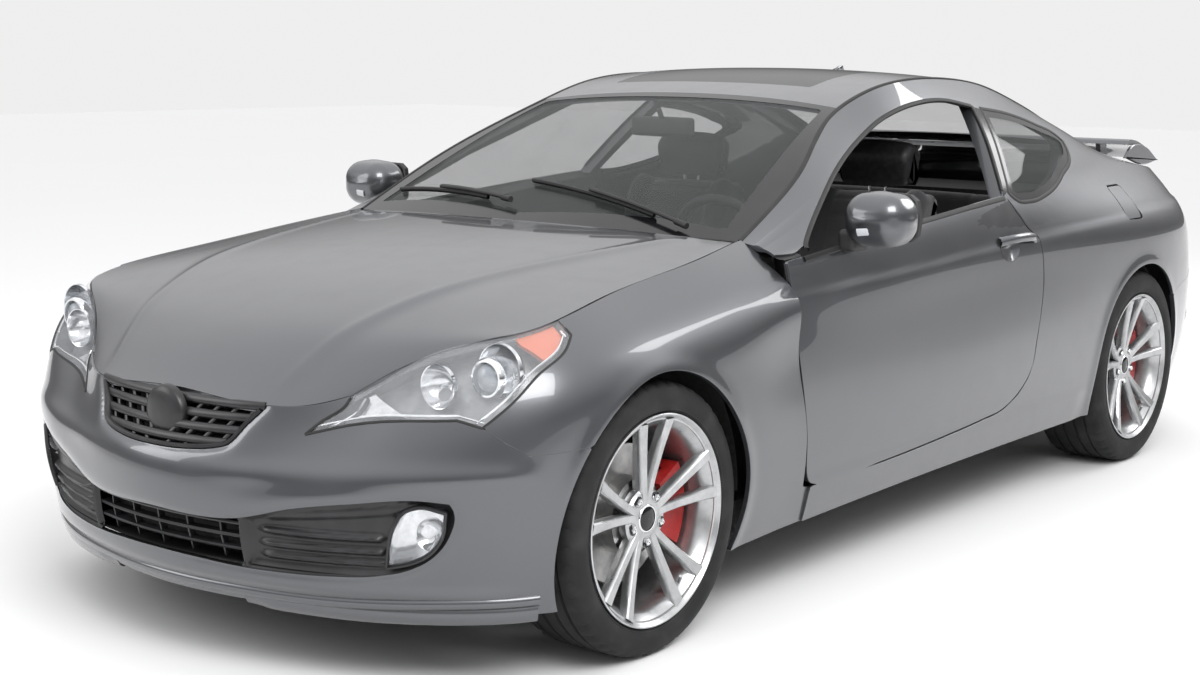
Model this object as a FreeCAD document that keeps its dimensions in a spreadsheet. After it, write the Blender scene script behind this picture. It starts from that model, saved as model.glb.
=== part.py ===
import FreeCAD
import Part
import Sketcher
import math
import os
from FreeCAD import Placement, Rotation, Vector

# Two-door coupe car. Millimetres. +X forward, +Y to the car's left, +Z up.
# Origin: on the ground, in the middle of the car's overall box.

doc = FreeCAD.newDocument("coupe")
sheet = doc.addObject("Spreadsheet::Sheet", "Sizes")

# name, value, what it measures
SIZES = [
    ("overall_length", 4630, "nose to tail"),
    ("overall_width", 1874, "over the rear wheel arches, without the mirrors"),
    ("roof_height", 1376, "ground to the top of the roof skin"),
    ("wheelbase", "=overall_length * 282 / 463", "front axle to rear axle, 2820 at the real length"),
    ("front_overhang", "=overall_length * 79 / 463", "front axle to nose, 790 at the real length"),
    ("track", 1600, "between the middles of the tyres"),
    ("front_tyre_width", 225, "section width"),
    ("rear_tyre_width", 245, "section width"),
    ("front_tyre_diameter", 662.6, "outside"),
    ("rear_tyre_diameter", 678.6, "outside"),
    ("rim_diameter", 482.6, "bead seat"),
    ("rim_lip", 16, "height of the rim's lip over the bead seat"),
    ("rim_wall", 9, "barrel wall"),
    ("rim_offset", 40, "middle of the rim to its mounting face"),
    ("spoke_count", 5, "twin spokes"),
    ("hub_radius", 76, "centre of the wheel"),
    ("bolt_circle", 114.3, "wheel bolts"),
    ("nut_radius", 11, "wheel nut pockets"),
    ("disc_radius", 170, "brake disc"),
    ("disc_thickness", 24, "brake disc"),
    ("stub_radius", 22, "stub axle"),
    ("pin_clearance", 0.1, "bores round pins and shafts"),
    ("bearing_clearance", 0.5, "disc bore round the stub axle"),
    ("caliper_width", 90, "across the disc"),
    ("steering_lean", 8.9, "steering axis leans inwards, degrees"),
    ("steering_axis_out", 700, "car middle to the lower ball joint"),
    ("ball_joint_height", 211, "ground to the lower ball joint"),
    ("arch_gap", 29, "tyre to wheel arch"),
    ("liner_gap", 80, "front tyre to wheel arch liner, for the steered wheel"),
    ("rear_liner_gap", 44, "rear tyre to wheel arch liner"),
    ("liner_wall", 3, "wheel arch liner"),
    ("skin", 5, "outer panels"),
    ("pillar_depth", 42, "roof rails and pillars"),
    ("roof_depth", 26, "roof with its frame"),
    ("hood_depth", 18, "hood with its inner panel"),
    ("lid_depth", 18, "trunk lid with its inner panel"),
    ("glass", 5, "window glass"),
    ("seam", 0.8, "gap between fixed panels"),
    ("shut_gap", 8.0, "gap round the hood, the lid and the fuel flap"),
    ("door_gap", 7.6, "gap round the doors"),
    ("door_inner", 806, "car middle to the inside face of the doors"),
    ("hinge_x", "=overall_length * 83.5 / 463", "door hinge line ahead of the origin, 835 here"),
    ("door_end", "=hinge_x - 20", "front face of the door body, behind the lap of its skin"),
    ("hinge_y", 886, "door hinge line, from the car middle"),
    ("hinge_low", 420, "lower door hinge"),
    ("hinge_high", 580, "upper door hinge"),
    ("hinge_pin", 6, "door hinge pin radius"),
    ("floor_bottom", 200, "ground to the floor pan"),
    ("sheet_metal", 8, "floor pan and firewall with their ribs"),
    ("sill_inner", 735, "car middle to the inner sills"),
    ("sill_face", 830, "car middle to the joint of inner and outer sill"),
    ("rail_inner", 380, "car middle to the front frame rails"),
    ("rail_width", 70, "front frame rails"),
    ("front_axle", "=overall_length / 2 - front_overhang", "ahead of the origin"),
    ("rear_axle", "=overall_length / 2 - front_overhang - wheelbase", "ahead of the origin"),
    ("front_hub", "=front_tyre_diameter / 2", "ground to the front hubs"),
    ("rear_hub", "=rear_tyre_diameter / 2", "ground to the rear hubs"),
    ("rim_face", "=track / 2 + rim_offset", "car middle to the wheels' mounting faces"),
]
for row, (name, value, note) in enumerate(SIZES, 1):
    sheet.set("A%d" % row, name)
    sheet.set("B%d" % row, str(value))
    sheet.set("C%d" % row, note)
    sheet.setAlias("B%d" % row, name)
doc.recompute()


def size(name):
    return float(sheet.get(name))


# The body's shape was drawn at these sizes. The tables below give places in
# that drawing, and along, across and up move them with the car's sizes.
DRAWN_NOSE = 2319.2
DRAWN_FRONT_AXLE = 1525.0
DRAWN_REAR_AXLE = -1295.0
DRAWN_TAIL = -2317.1
DRAWN_HALF_WIDTH = 937.0
DRAWN_BELT = 900.0
DRAWN_ROOF = 1379.4

nose = size("overall_length") / 2
front_axle = size("front_axle")
rear_axle = size("rear_axle")
tail = -nose
DRAWN_X = (DRAWN_TAIL, DRAWN_REAR_AXLE, DRAWN_FRONT_AXLE, DRAWN_NOSE)
REAL_X = (tail, rear_axle, front_axle, nose)


def between_marks(value, marks, places):
    """The place of a value, stretched between marks and shifted beyond the outer ones."""
    if value <= marks[0]:
        return value - marks[0] + places[0]
    for low, high, place_low, place_high in zip(marks, marks[1:], places, places[1:]):
        if value <= high:
            return place_low + (value - low) * (place_high - place_low) / (high - low)
    return value - marks[-1] + places[-1]


def along(x):
    return between_marks(x, DRAWN_X, REAL_X)


def across(y):
    return y * size("overall_width") / 2 / DRAWN_HALF_WIDTH


def up(z):
    return between_marks(z, (0.0, DRAWN_BELT, DRAWN_ROOF), (0.0, DRAWN_BELT, size("roof_height")))


def at(x, y, z):
    return Vector(along(x), across(y), up(z))


# The plain pieces are placed along the car at this length, and move with it.
PLACED_LENGTH = 4630.0


def lengthways(x):
    """The formula of a place along the car. One that is a formula already stays as it is."""
    return x if isinstance(x, str) else "%s * Sizes.overall_length / %s" % (x, PLACED_LENGTH)


def moved(x):
    return x * size("overall_length") / PLACED_LENGTH


# Smooth surfaces through tables of sections


def ramp(low, high, value):
    return min(1.0, max(0.0, (value - low) / (high - low)))


def natural_spline(knots, points):
    """A function of the knot value that runs smoothly through the points."""
    last = len(knots) - 1
    gaps = [knots[k + 1] - knots[k] for k in range(last)]
    slopes = [(points[k + 1] - points[k]) * (1 / gaps[k]) for k in range(last)]
    weight = [0.0] * (last + 1)
    bend = [Vector()] * (last + 1)
    for k in range(1, last):
        pivot = 2 * (gaps[k - 1] + gaps[k]) - gaps[k - 1] * weight[k - 1]
        weight[k] = gaps[k] / pivot
        bend[k] = ((slopes[k] - slopes[k - 1]) * 3 - bend[k - 1] * gaps[k - 1]) * (1 / pivot)
    for k in range(last - 1, 0, -1):
        bend[k] = bend[k] - bend[k + 1] * weight[k]

    def place(value):
        k = 0
        while k < last - 1 and value > knots[k + 1]:
            k += 1
        step = value - knots[k]
        first = slopes[k] - (bend[k] * 2 + bend[k + 1]) * (gaps[k] / 3)
        third = (bend[k + 1] - bend[k]) * (1 / (3 * gaps[k]))
        return points[k] + first * step + bend[k] * step ** 2 + third * step ** 3

    return place


def running_length(points):
    lengths = [0.0]
    for first, second in zip(points, points[1:]):
        lengths.append(lengths[-1] + (second - first).Length)
    return lengths


def spread(low, high, count):
    return [low + (high - low) * k / (count - 1) for k in range(count)]


class Surface:
    """A surface through rows of points. s runs from row to row and t along a row."""

    def __init__(self, rows, row_knots, column_knots, centre):
        self.s_knots = row_knots
        self.t_knots = column_knots
        self.centre = centre
        self.columns = [natural_spline(row_knots, [row[k] for row in rows]) for k in range(len(column_knots))]

    def line(self, s):
        return natural_spline(self.t_knots, [column(s) for column in self.columns])

    def point(self, s, t):
        return self.line(s)(t)

    def inward(self, s, t):
        """Unit vector into the car, square to the surface."""
        ds = (self.s_knots[-1] - self.s_knots[0]) * 1e-4
        dt = (self.t_knots[-1] - self.t_knots[0]) * 1e-4
        side = self.point(s + ds, t) - self.point(s - ds, t)
        rise = self.point(s, t + dt) - self.point(s, t - dt)
        normal = side.cross(rise).normalize()
        return normal if normal.dot(self.centre - self.point(s, t)) > 0 else normal * -1

    def s_at_x(self, x, t, low, high):
        """The s between low and high at which the line of constant t passes x."""
        rising = self.point(high, t).x > self.point(low, t).x
        for _ in range(40):
            middle = (low + high) / 2
            if (self.point(middle, t).x < x) == rising:
                low = middle
            else:
                high = middle
        return (low + high) / 2


def solid_between(outer, inner):
    """A closed solid between two grids of points with matching edges."""
    sheets = []
    for grid in (outer, inner):
        sheet_surface = Part.BSplineSurface()
        sheet_surface.interpolate(grid)
        sheets.append(sheet_surface)
    faces = [sheet_surface.toShape() for sheet_surface in sheets]
    u_low, u_high, v_low, v_high = sheets[0].bounds()
    for cut_low in (True, False):
        u_edges = [each.uIso(u_low if cut_low else u_high).toShape() for each in sheets]
        v_edges = [each.vIso(v_low if cut_low else v_high).toShape() for each in sheets]
        faces.append(Part.makeRuledSurface(*u_edges))
        faces.append(Part.makeRuledSurface(*v_edges))
    shell = Part.makeShell(faces)
    shell.sewShape()
    solid = Part.makeSolid(shell)
    if solid.Volume < 0:
        solid.reverse()
    return solid


def depth_at(depth, s, t):
    return depth(s, t) if callable(depth) else depth


def plate(surface, s_values, t_values, near, far, straight_down=None):
    """A plate that follows the surface, from near to far under it.

    straight_down gives, for a t, how much the plate's depth runs down instead
    of square to the surface, from 0 to 1."""
    outer = []
    inner = []
    for s in s_values:
        line = surface.line(s)
        outer_row = []
        inner_row = []
        for t in t_values:
            way = surface.inward(s, t)
            share = straight_down(t) if straight_down else 0
            if share:
                way = (way * (1 - share) + Vector(0, 0, -share)).normalize()
            outer_row.append(line(t) + way * depth_at(near, s, t))
            inner_row.append(line(t) + way * depth_at(far, s, t))
        outer.append(outer_row)
        inner.append(inner_row)
    return solid_between(outer, inner)


def prism(points, low, high, plane="xz", grow=0.0):
    """A prism over an outline, along the axis that the plane lacks."""
    if plane == "xz":
        corners = [Vector(x, low, z) for x, z in points]
        run = Vector(0, high - low, 0)
    elif plane == "yz":
        corners = [Vector(low, y, z) for y, z in points]
        run = Vector(high - low, 0, 0)
    else:
        corners = [Vector(x, y, low) for x, y in points]
        run = Vector(0, 0, high - low)
    face = Part.Face(Part.makePolygon(corners + corners[:1]))
    if grow:
        face = face.makeOffset2D(grow, 2)
    return face.extrude(run)


def placed_outline(points):
    """An outline from the drawing's x and z."""
    return [(along(x), up(z)) for x, z in points]


def block(x0, x1, y0, y1, z0, z1):
    return Part.makeBox(x1 - x0, y1 - y0, z1 - z0, Vector(x0, y0, z0))


def mirrored(shape):
    return shape.mirror(Vector(0, 0, 0), Vector(0, 1, 0))


def feature(name, shape):
    result = doc.addObject("Part::Feature", name)
    result.Shape = shape
    result.Label = name
    return result


# Sections of the lower body, from the nose to the tail.
# Heading is the way the side faces there: 0 forward, 90 to the left, 180 back.
# Insets are how far the side lies in from x, y at each of the LEVELS, which are
# shares of the height between bottom and top.
LEVELS = (0.0, 0.17, 0.42, 0.66, 0.86, 1.0)
FRONT_SECTIONS = [
    # x, y, heading, bottom, top, insets
    (2315, 0, 0, 170, 642, (68, 26, 0, 2, 46, 88)),
    (2283, 304, 14, 170, 630, (76, 33, 12, 22, 54, 74)),
    (2200, 560, 38, 172, 664, (72, 38, 10, 35, 92, 127)),
    (2075, 752, 57, 175, 760, (62, 34, 4, 22, 80, 156)),
    (1930, 884, 74, 180, 800, (50, 24, 3, 8, 50, 132)),
    (1525, 931, 90, 185, 862, (45, 18, 2, 6, 50, 166)),
    (1130, 924, 92, 190, 910, (40, 12, 0, 12, 52, 182)),
    (930, 914, 91, 195, 936, (35, 8, 0, 14, 44, 200)),
    (820, 912, 91, 196, 948, (35, 8, 0, 14, 46, 206)),
]
REAR_SECTIONS = [
    (930, 914, 91, 195, 892, (35, 8, 0, 14, 36, 56)),
    (300, 916, 90, 205, 943, (40, 10, 2, 16, 34, 62)),
    (-350, 922, 90, 212, 995, (42, 12, 0, 14, 38, 78)),
    (-850, 931, 90, 215, 1010, (45, 14, 2, 6, 40, 112)),
    (-1295, 936, 90, 215, 1022, (45, 16, 4, 2, 52, 166)),
    (-1740, 900, 104, 215, 1014, (45, 16, 2, 4, 60, 180)),
    (-2060, 770, 128, 215, 990, (60, 18, 0, 16, 72, 140)),
    (-2235, 500, 157, 215, 985, (60, 14, 0, 22, 60, 80)),
    (-2315, 0, 180, 215, 1000, (60, 14, 0, 30, 68, 78)),
]
# The roof rail (the line where side and top meet) and the car's centre line,
# from the foot of the windshield to the trunk lid.
TOP_SECTIONS = [
    # rail x, y, z, centre x, z
    (916, 712, 934, 1040, 952),
    (567, 676, 1106, 640, 1145),
    (205, 572, 1268, 190, 1302),
    (31, 566, 1318, 20, 1344),
    (-193, 562, 1349, -200, 1376),
    (-450, 558, 1352, -450, 1376),
    (-700, 556, 1331, -700, 1358),
    (-900, 554, 1290, -930, 1312),
    (-1200, 556, 1204, -1240, 1218),
    (-1490, 560, 1100, -1550, 1094),
    (-1700, 575, 1046, -1750, 1056),
    (-1880, 585, 1015, -1950, 1036),
    (-2000, 560, 1003, -2090, 1024),
    (-2100, 500, 995, -2190, 1012),
]
WINDSHIELD_FOOT = 0
HEADER = 2
REAR_HEADER = 7
LID_FRONT = 9
TOP_CROWN = 2.2
# Centre line of the hood, and the share of the way along the fender's top
# edge at which each row meets it, from the lamp's inner end to the cowl.
HOOD_ROWS = [
    # x of the edge, centre x, centre z
    (2105, 2200, 654),
    (2016, 2130, 712),
    (1937, 2050, 766),
    (1858, 1950, 812),
    (1753, 1820, 856),
    (1525, 1560, 906),
    (1200, 1270, 938),
    (952, 1062, 953),
]
HOOD_CROWN = 2.6


def section_row(section):
    x, y, heading, bottom, top, insets = section
    turn = math.radians(heading)
    return [at(x - inset * math.cos(turn), y - inset * math.sin(turn), bottom + (top - bottom) * level)
            for level, inset in zip(LEVELS, insets)]


def flipped(row):
    return [Vector(point.x, -point.y, point.z) for point in row]


CAR_CENTRE = at(0, 0, 600)
MID_LEVEL = 2

left_front = [section_row(section) for section in FRONT_SECTIONS]
front_rows = [flipped(row) for row in left_front[:0:-1]] + left_front
front_lengths = running_length([row[MID_LEVEL] for row in front_rows])
front_body = Surface(front_rows, front_lengths, LEVELS, CAR_CENTRE)
front_middle = front_lengths[len(left_front) - 1]
front_end = front_lengths[-1]

left_rear = [section_row(section) for section in REAR_SECTIONS]
rear_rows = left_rear + [flipped(row) for row in left_rear[-2::-1]]
rear_lengths = running_length([row[MID_LEVEL] for row in rear_rows])
rear_body = Surface(rear_rows, rear_lengths, LEVELS, CAR_CENTRE)
rear_middle = rear_lengths[len(left_rear) - 1]

# The side from sill to roof rail: the lower body's levels, three points on the
# side window and the rail.
SIDE_LEVELS = LEVELS + (1.1, 1.25, 1.5, 1.7)
WINDOW_SHARES = ((0.15, 0.5), (0.36, 0.95), (0.72, 0.85))
WINDOW_BULGE = 0.035
# Behind the window the side turns into the deck over a round shoulder.
SHOULDER = (-850.0, -1490.0)
SHOULDER_SHARES = (0.26, 0.52, 0.8)
SHOULDER_RISE = 0.8


def turning(first, first_run, last, last_run, share):
    """A point of the curve that leaves first along first_run and meets last along last_run."""
    near = share ** 2 * (3 - 2 * share)
    return first * (1 - near) + last * near + first_run * (share * (1 - share) ** 2) \
        + last_run * (share ** 2 * (share - 1))


def side_row(section):
    rail = at(section[0], section[1], section[2])
    s = 0.0
    if rail.x < rear_body.point(0, 1).x:
        s = rear_body.s_at_x(rail.x, 1.0, 0.0, rear_middle)
    lower = [rear_body.point(s, level) for level in LEVELS]
    belt = lower[-1]
    reach = rail - belt
    reach_length = math.hypot(reach.y, reach.z)
    outward = Vector(0, reach.z, -reach.y) * (1 / reach_length)
    rise = (belt - lower[-2]).normalize() * (SHOULDER_RISE * reach_length)
    level_run = Vector(0, -reach_length, 0)
    shoulder = 1 - ramp(SHOULDER[1], SHOULDER[0], section[0])
    upper = []
    for (share, bulge), turned in zip(WINDOW_SHARES, SHOULDER_SHARES):
        window = belt + reach * share + outward * (WINDOW_BULGE * bulge * reach_length)
        deck = turning(belt, rise, rail, level_run, turned)
        upper.append(window * (1 - shoulder) + deck * shoulder)
    return lower + upper + [rail]


side_rows = [side_row(section) for section in TOP_SECTIONS]
side_lengths = running_length([row[MID_LEVEL] for row in side_rows])
side = Surface(side_rows, side_lengths, SIDE_LEVELS, CAR_CENTRE)
RAIL = SIDE_LEVELS[-1]


def crowned_row(edge, centre, shares, crown):
    """A row from the left edge over the centre to the right one."""
    return [Vector(edge.x + (centre.x - edge.x) * (1 - share ** 2), share * edge.y,
                   edge.z + (centre.z - edge.z) * (1 - abs(share) ** crown)) for share in shares]


SHARES = spread(1, -1, 9)
top_rows = [crowned_row(at(x, y, z), at(xc, 0, zc), SHARES, TOP_CROWN) for x, y, z, xc, zc in TOP_SECTIONS]
top_lengths = running_length([row[4] for row in top_rows])
top = Surface(top_rows, top_lengths, [-share for share in SHARES], CAR_CENTRE)


def run_down(t):
    """Plates turn from square to the surface to straight down towards their top edge."""
    return ramp(0.66, 1.0, t)


def run_down_at_rail(t):
    return ramp(1.25, RAIL, t)


def straight(t):
    return 1


# Outlines seen from the side, as x and z in the drawing
LAMP = [(2181, 574), (2126, 601), (2088, 618), (2039, 628), (2013, 614), (1965, 661), (1901, 719),
        (1801, 771), (1763, 796), (1768, 860), (1950, 860), (2130, 730), (2103, 664), (2124, 633),
        (2153, 606)]
FENDER = [(852, 100), (852, 291), (881, 293), (884, 341), (917, 904), (917, 1000), (1768, 1000),
          (1763, 796), (1801, 771), (1901, 719), (1965, 661), (2013, 614), (1986, 584), (1949, 553),
          (1836, 558), (1770, 562), (1770, 100)]
BEHIND_BUMPER = [(1770, 0), (1770, 562), (1836, 558), (1949, 553), (1986, 584), (2013, 614), (2039, 628),
                 (2088, 618), (2126, 601), (2181, 574), (2153, 606), (2124, 633), (2103, 664), (2130, 730),
                 (2130, 1200), (500, 1200), (500, 0)]
DOOR = [(927, 897), (914, 817), (912, 684), (885, 437), (875, 341), (862, 308), (835, 299), (472, 300),
        (113, 313), (-139, 327), (-257, 338), (-351, 376), (-416, 430), (-456, 547), (-480, 618),
        (-503, 718), (-500, 799), (-485, 858), (-428, 890), (-380, 943), (-350, 988), (845, 896)]
DOOR_TOP = [(-345, 1040), (845, 1000), (845, 896)]
DOOR_WINDOW = [(845, 888), (672, 986), (471, 1089), (227, 1184), (38, 1246), (-141, 1278), (-350, 1285),
               (-493, 1264), (-327, 984)]
QUARTER_WINDOW = [(-545, 1256), (-739, 1234), (-935, 1193), (-1055, 1152), (-1072, 1135), (-1056, 1115),
                  (-843, 1032), (-656, 985), (-497, 968), (-420, 975), (-378, 1000)]
DOOR_OPENING = [(1000, 100), (851, 100), (851, 291), (472, 292), (113, 305), (-139, 319), (-260, 330),
                (-356, 369), (-423, 425), (-463, 544), (-487, 617), (-511, 717), (-508, 800), (-492, 861),
                (-434, 896), (-387, 948), (-357, 988), (790, 925), (848, 912), (1000, 912)]
REAR_BUMPER = [(-1560, 100), (-1560, 560), (-1640, 585), (-1900, 625), (-2010, 665), (-2070, 760),
               (-2090, 1100), (-2400, 1100), (-2400, 100)]
FUEL_DOOR = [(-1168, 878), (-1168, 968), (-1176, 976), (-1276, 976), (-1284, 968), (-1284, 878),
             (-1276, 870), (-1176, 870)]
SUNROOF = [(60, -380), (60, 380), (-370, 380), (-370, -380)]

# Openings in the front bumper, as y and z seen from the front
UPPER_GRILLE = [(-300, 700), (-302, 626), (-263, 585), (-225, 538), (-190, 528), (-126, 520), (0, 516),
                (126, 520), (190, 528), (225, 538), (263, 585), (302, 626), (300, 700)]
LOWER_GRILLE = [(-752, 430), (-745, 447), (-696, 453), (-542, 438), (-410, 415), (-270, 377), (0, 372),
                (270, 377), (410, 415), (542, 438), (696, 453), (745, 447), (752, 430), (739, 368),
                (696, 312), (648, 284), (586, 268), (480, 259), (342, 255), (0, 262),
                (-342, 255), (-480, 259), (-586, 268), (-648, 284), (-696, 312), (-739, 368)]

FAR_SIDE = 1200.0
HIGH = 2000.0
front_hub = size("front_hub")
rear_hub = size("rear_hub")
seam = size("seam")
skin = size("skin")
shut_gap = size("shut_gap")
door_gap = size("door_gap")
EVEN = 24


def side_prism(points, grow=0.0, low=-FAR_SIDE, high=FAR_SIDE):
    """A prism across the car over an outline seen from the side."""
    return prism(placed_outline(points), low, high, grow=grow)


def front_prism(points, grow=0.0):
    """A prism along the car's front over an outline seen from the front."""
    return prism([(across(y), z) for y, z in points], along(1950), nose + 50, "yz", grow)


def arch(axle, radius, height):
    return Part.makeCylinder(radius, 2 * FAR_SIDE, Vector(axle, -FAR_SIDE, height), Vector(0, 1, 0))


front_arch = arch(front_axle, front_hub + size("arch_gap"), front_hub)
rear_arch = arch(rear_axle, rear_hub + size("arch_gap"), rear_hub)
left_half = block(tail - 100, nose + 100, 0, FAR_SIDE, 0, HIGH)

# Front skin: fenders, bumper and lamps tile one surface
FRONT_LEVELS = (0.0, 0.14, 0.28, 0.42, 0.54, 0.66, 0.76, 0.86, 0.93, 1.0)
front_skin = plate(front_body, spread(0, front_end, 2 * EVEN - 1), FRONT_LEVELS, 0, skin, run_down)
fender = front_skin.common(side_prism(FENDER)).common(left_half)
fender = fender.cut(side_prism(DOOR, door_gap)).cut(front_arch)
feature("fender_l", fender)
feature("fender_r", mirrored(fender))
bumper = front_skin.cut(side_prism(BEHIND_BUMPER, seam))
bumper = bumper.cut(front_prism(UPPER_GRILLE)).cut(front_prism(LOWER_GRILLE)).cut(front_arch)
feature("front_bumper", bumper)

# Headlamps
LAMP_DEPTH = 60.0
LAMP_LEVELS = (0.42, 0.55, 0.66, 0.76, 0.86, 0.93, 1.0)
lamp_end = front_body.s_at_x(along(1700), 0.66, front_middle + 1, front_end)
lamp = plate(front_body, spread(front_middle + 200, lamp_end, 12), LAMP_LEVELS, 1, LAMP_DEPTH, run_down)
lamp = lamp.common(side_prism(LAMP, -seam))
feature("headlamps", Part.makeCompound([lamp, mirrored(lamp)]))

# Grilles: bars that follow the bumper's surface
GRILLE_NEAR = skin + 1.5
GRILLE_FAR = 34.0
GRILLE_FRAME = 12.0
grille_reach = front_body.s_at_x(along(1960), MID_LEVEL, front_middle + 1, front_end) - front_middle


def grille(opening, heights, thickness, posts, post_width, t_values):
    """Bars and posts across an opening, with a frame behind the bumper's edge."""
    rows = spread(front_middle - grille_reach, front_middle + grille_reach, EVEN + 1)
    band = plate(front_body, rows, t_values, GRILLE_NEAR, GRILLE_FAR)
    inside = band.common(front_prism(opening, GRILLE_FRAME))
    pieces = [inside.cut(front_prism(opening, -GRILLE_FRAME / 3))]
    for height in heights:
        pieces.append(inside.common(block(along(1900), nose, -FAR_SIDE, FAR_SIDE,
                                          height - thickness / 2, height + thickness / 2)))
    for post in posts:
        low, high = post - post_width / 2, post + post_width / 2
        pieces.append(inside.common(block(along(1900), nose, low, high, 0, HIGH)))
    return pieces[0].multiFuse(pieces[1:])


feature("upper_grille", grille(UPPER_GRILLE, (545, 570, 595), 7, (), 0, (0.6, 0.7, 0.8, 0.86, 0.92)))
feature("lower_grille", grille(LOWER_GRILLE, (300, 335, 372, 410), 7, (-269, 269), 14,
                               (0.0, 0.12, 0.24, 0.36, 0.48, 0.6, 0.72)))

# Hood
hood_lengths = [front_body.s_at_x(along(x), 1.0, front_middle + 1, front_end) for x, _, _ in HOOD_ROWS]
hood_reach = hood_lengths[0] - front_middle


def hood_edge(s):
    """A point of the hood's edge, a shut gap inside the fender's."""
    step = front_end * 1e-4
    run = front_body.point(s + step, 1.0) - front_body.point(s - step, 1.0)
    inside = Vector(-run.y, run.x, 0).normalize()
    edge = front_body.point(s, 1.0)
    return edge + inside * (shut_gap if inside.dot(at(1300, 0, 0) - edge) > 0 else -shut_gap)


hood_rows = [[hood_edge(front_middle + share * hood_reach) for share in SHARES]]
for s, (_, centre_x, centre_z) in list(zip(hood_lengths, HOOD_ROWS))[1:]:
    hood_rows.append(crowned_row(hood_edge(s), at(centre_x, 0, centre_z), SHARES, HOOD_CROWN))
hood_surface = Surface(hood_rows, running_length([row[4] for row in hood_rows]), top.t_knots, CAR_CENTRE)
hood = plate(hood_surface, spread(0, hood_surface.s_knots[-1], EVEN), hood_surface.t_knots, 0,
             size("hood_depth"), straight)


def top_plate(first, last, front_gap, rear_gap, side_gap, near, depth, count=8):
    """A plate of the top surface from one section to another, with gaps round it."""
    rows = spread(top_lengths[first] + front_gap, top_lengths[last] - rear_gap, count)
    edge = 1 - side_gap / across(560)
    return plate(top, rows, [share * edge for share in top.t_knots], near, depth, straight)


windshield = top_plate(WINDSHIELD_FOOT, HEADER, 0, seam, seam, 0, size("glass"))
roof = top_plate(HEADER, REAR_HEADER, 0, 0, seam, 0, size("roof_depth"), 12)
rear_glass = top_plate(REAR_HEADER, LID_FRONT, seam, 0, seam, 0, size("glass"))
sunroof_opening = [(along(x), across(y)) for x, y in SUNROOF]
feature("roof_panel", roof.cut(prism(sunroof_opening, 1000, HIGH, "xy")))
sunroof = top_plate(HEADER, REAR_HEADER, 0, 0, seam, 0, size("glass"), 12)
sunroof = sunroof.common(prism(sunroof_opening, 1000, HIGH, "xy", -seam))

# Body side: one pressing from the sill to the roof rail
SIDE_T = (0.0, 0.17, 0.34, 0.5, 0.66, 0.83, 1.0, 1.17, 1.34, 1.52, RAIL)
BELT_T = (1.0, 1.17, 1.34, 1.52, RAIL)
DOOR_T = (0.02, 0.17, 0.34, 0.5, 0.66, 0.83, 1.0)
SILL_DEPTH = 82.0
FOOT_DEPTH = 16.0
pocket_start = along(-880)


def side_depth(s, t):
    """Deep at the sill ahead of the rear wheel, as deep as a pillar above and behind."""
    pillar = FOOT_DEPTH + (size("pillar_depth") - FOOT_DEPTH) * ramp(0, side_lengths[1], s)
    sill = 1 - ramp(0.2, 0.8, t)
    front = 1 - ramp(side_lengths[9], side_lengths[11], s)
    return pillar + (SILL_DEPTH - pillar) * sill * front


side_rows = spread(0, side_lengths[-1], EVEN)
side_frame = plate(side, side_rows, SIDE_T, 0, side_depth, run_down_at_rail)
inside_skin = plate(side, spread(side_lengths[7], side_lengths[-1] + 40, EVEN), (0.1, 0.3, 0.5, 0.7, 0.9),
                    skin, SILL_DEPTH + 30)
side_frame = side_frame.cut(block(tail, nose, 0, size("sill_face"), 0, 700))
side_frame = side_frame.cut(inside_skin.common(block(tail, pocket_start, 0, FAR_SIDE, 250, 940)))
side_frame = side_frame.cut(side_prism(DOOR_OPENING, 0, 0)).cut(side_prism(DOOR_WINDOW, 0, 0))
side_frame = side_frame.cut(side_prism(QUARTER_WINDOW, 0, 0))
side_frame = side_frame.cut(rear_arch).cut(side_prism(REAR_BUMPER, 0, 0))

quarter_glass = plate(side, side_rows, BELT_T, 0.3, size("glass"), run_down_at_rail)
quarter_glass = quarter_glass.common(side_prism(QUARTER_WINDOW, -seam, 0))
panes = [windshield, sunroof, rear_glass, quarter_glass, mirrored(quarter_glass)]
feature("fixed_glass", Part.makeCompound(panes))

# Tail lamps, let into the corner between body side and bumper
TAIL_T = (0.745, 0.8, 0.87, 0.93)
tail_start = rear_body.s_at_x(along(-2040), 0.84, 0.0, rear_middle)
tail_end = rear_lengths[7]


def tail_block(grow, near, far):
    level = grow / 780
    t_values = [TAIL_T[0] - level] + list(TAIL_T[1:-1]) + [TAIL_T[-1] + level]
    return plate(rear_body, spread(tail_start - grow, tail_end + grow, 6), t_values, near, far)


tail_lamp = tail_block(0, 0.5, 45)
feature("tail_lamps", Part.makeCompound([tail_lamp, mirrored(tail_lamp)]))
tail_hole = tail_block(seam, -20, 60)
side_frame = side_frame.cut(tail_hole)

# Rear bumper
REAR_LEVELS = (0.0, 0.15, 0.3, 0.45, 0.6, 0.735)
rear_edge = rear_body.s_at_x(along(-1450), 0.3, 0.0, rear_middle)
skin_rows = spread(rear_edge, 2 * rear_middle - rear_edge, 2 * EVEN - 1)
rear_skin = plate(rear_body, skin_rows, REAR_LEVELS, 0, skin)
TAIL_PIPES = (-330, 330)
TAIL_PIPE_HEIGHT = 300
rear_bumper = rear_skin.common(side_prism(REAR_BUMPER, -seam)).cut(rear_arch)
for y in TAIL_PIPES:
    pipe_hole = Part.makeCylinder(52, 200, Vector(tail - 10, y, TAIL_PIPE_HEIGHT), Vector(1, 0, 0))
    rear_bumper = rear_bumper.cut(pipe_hole)
feature("rear_bumper", rear_bumper)

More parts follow.
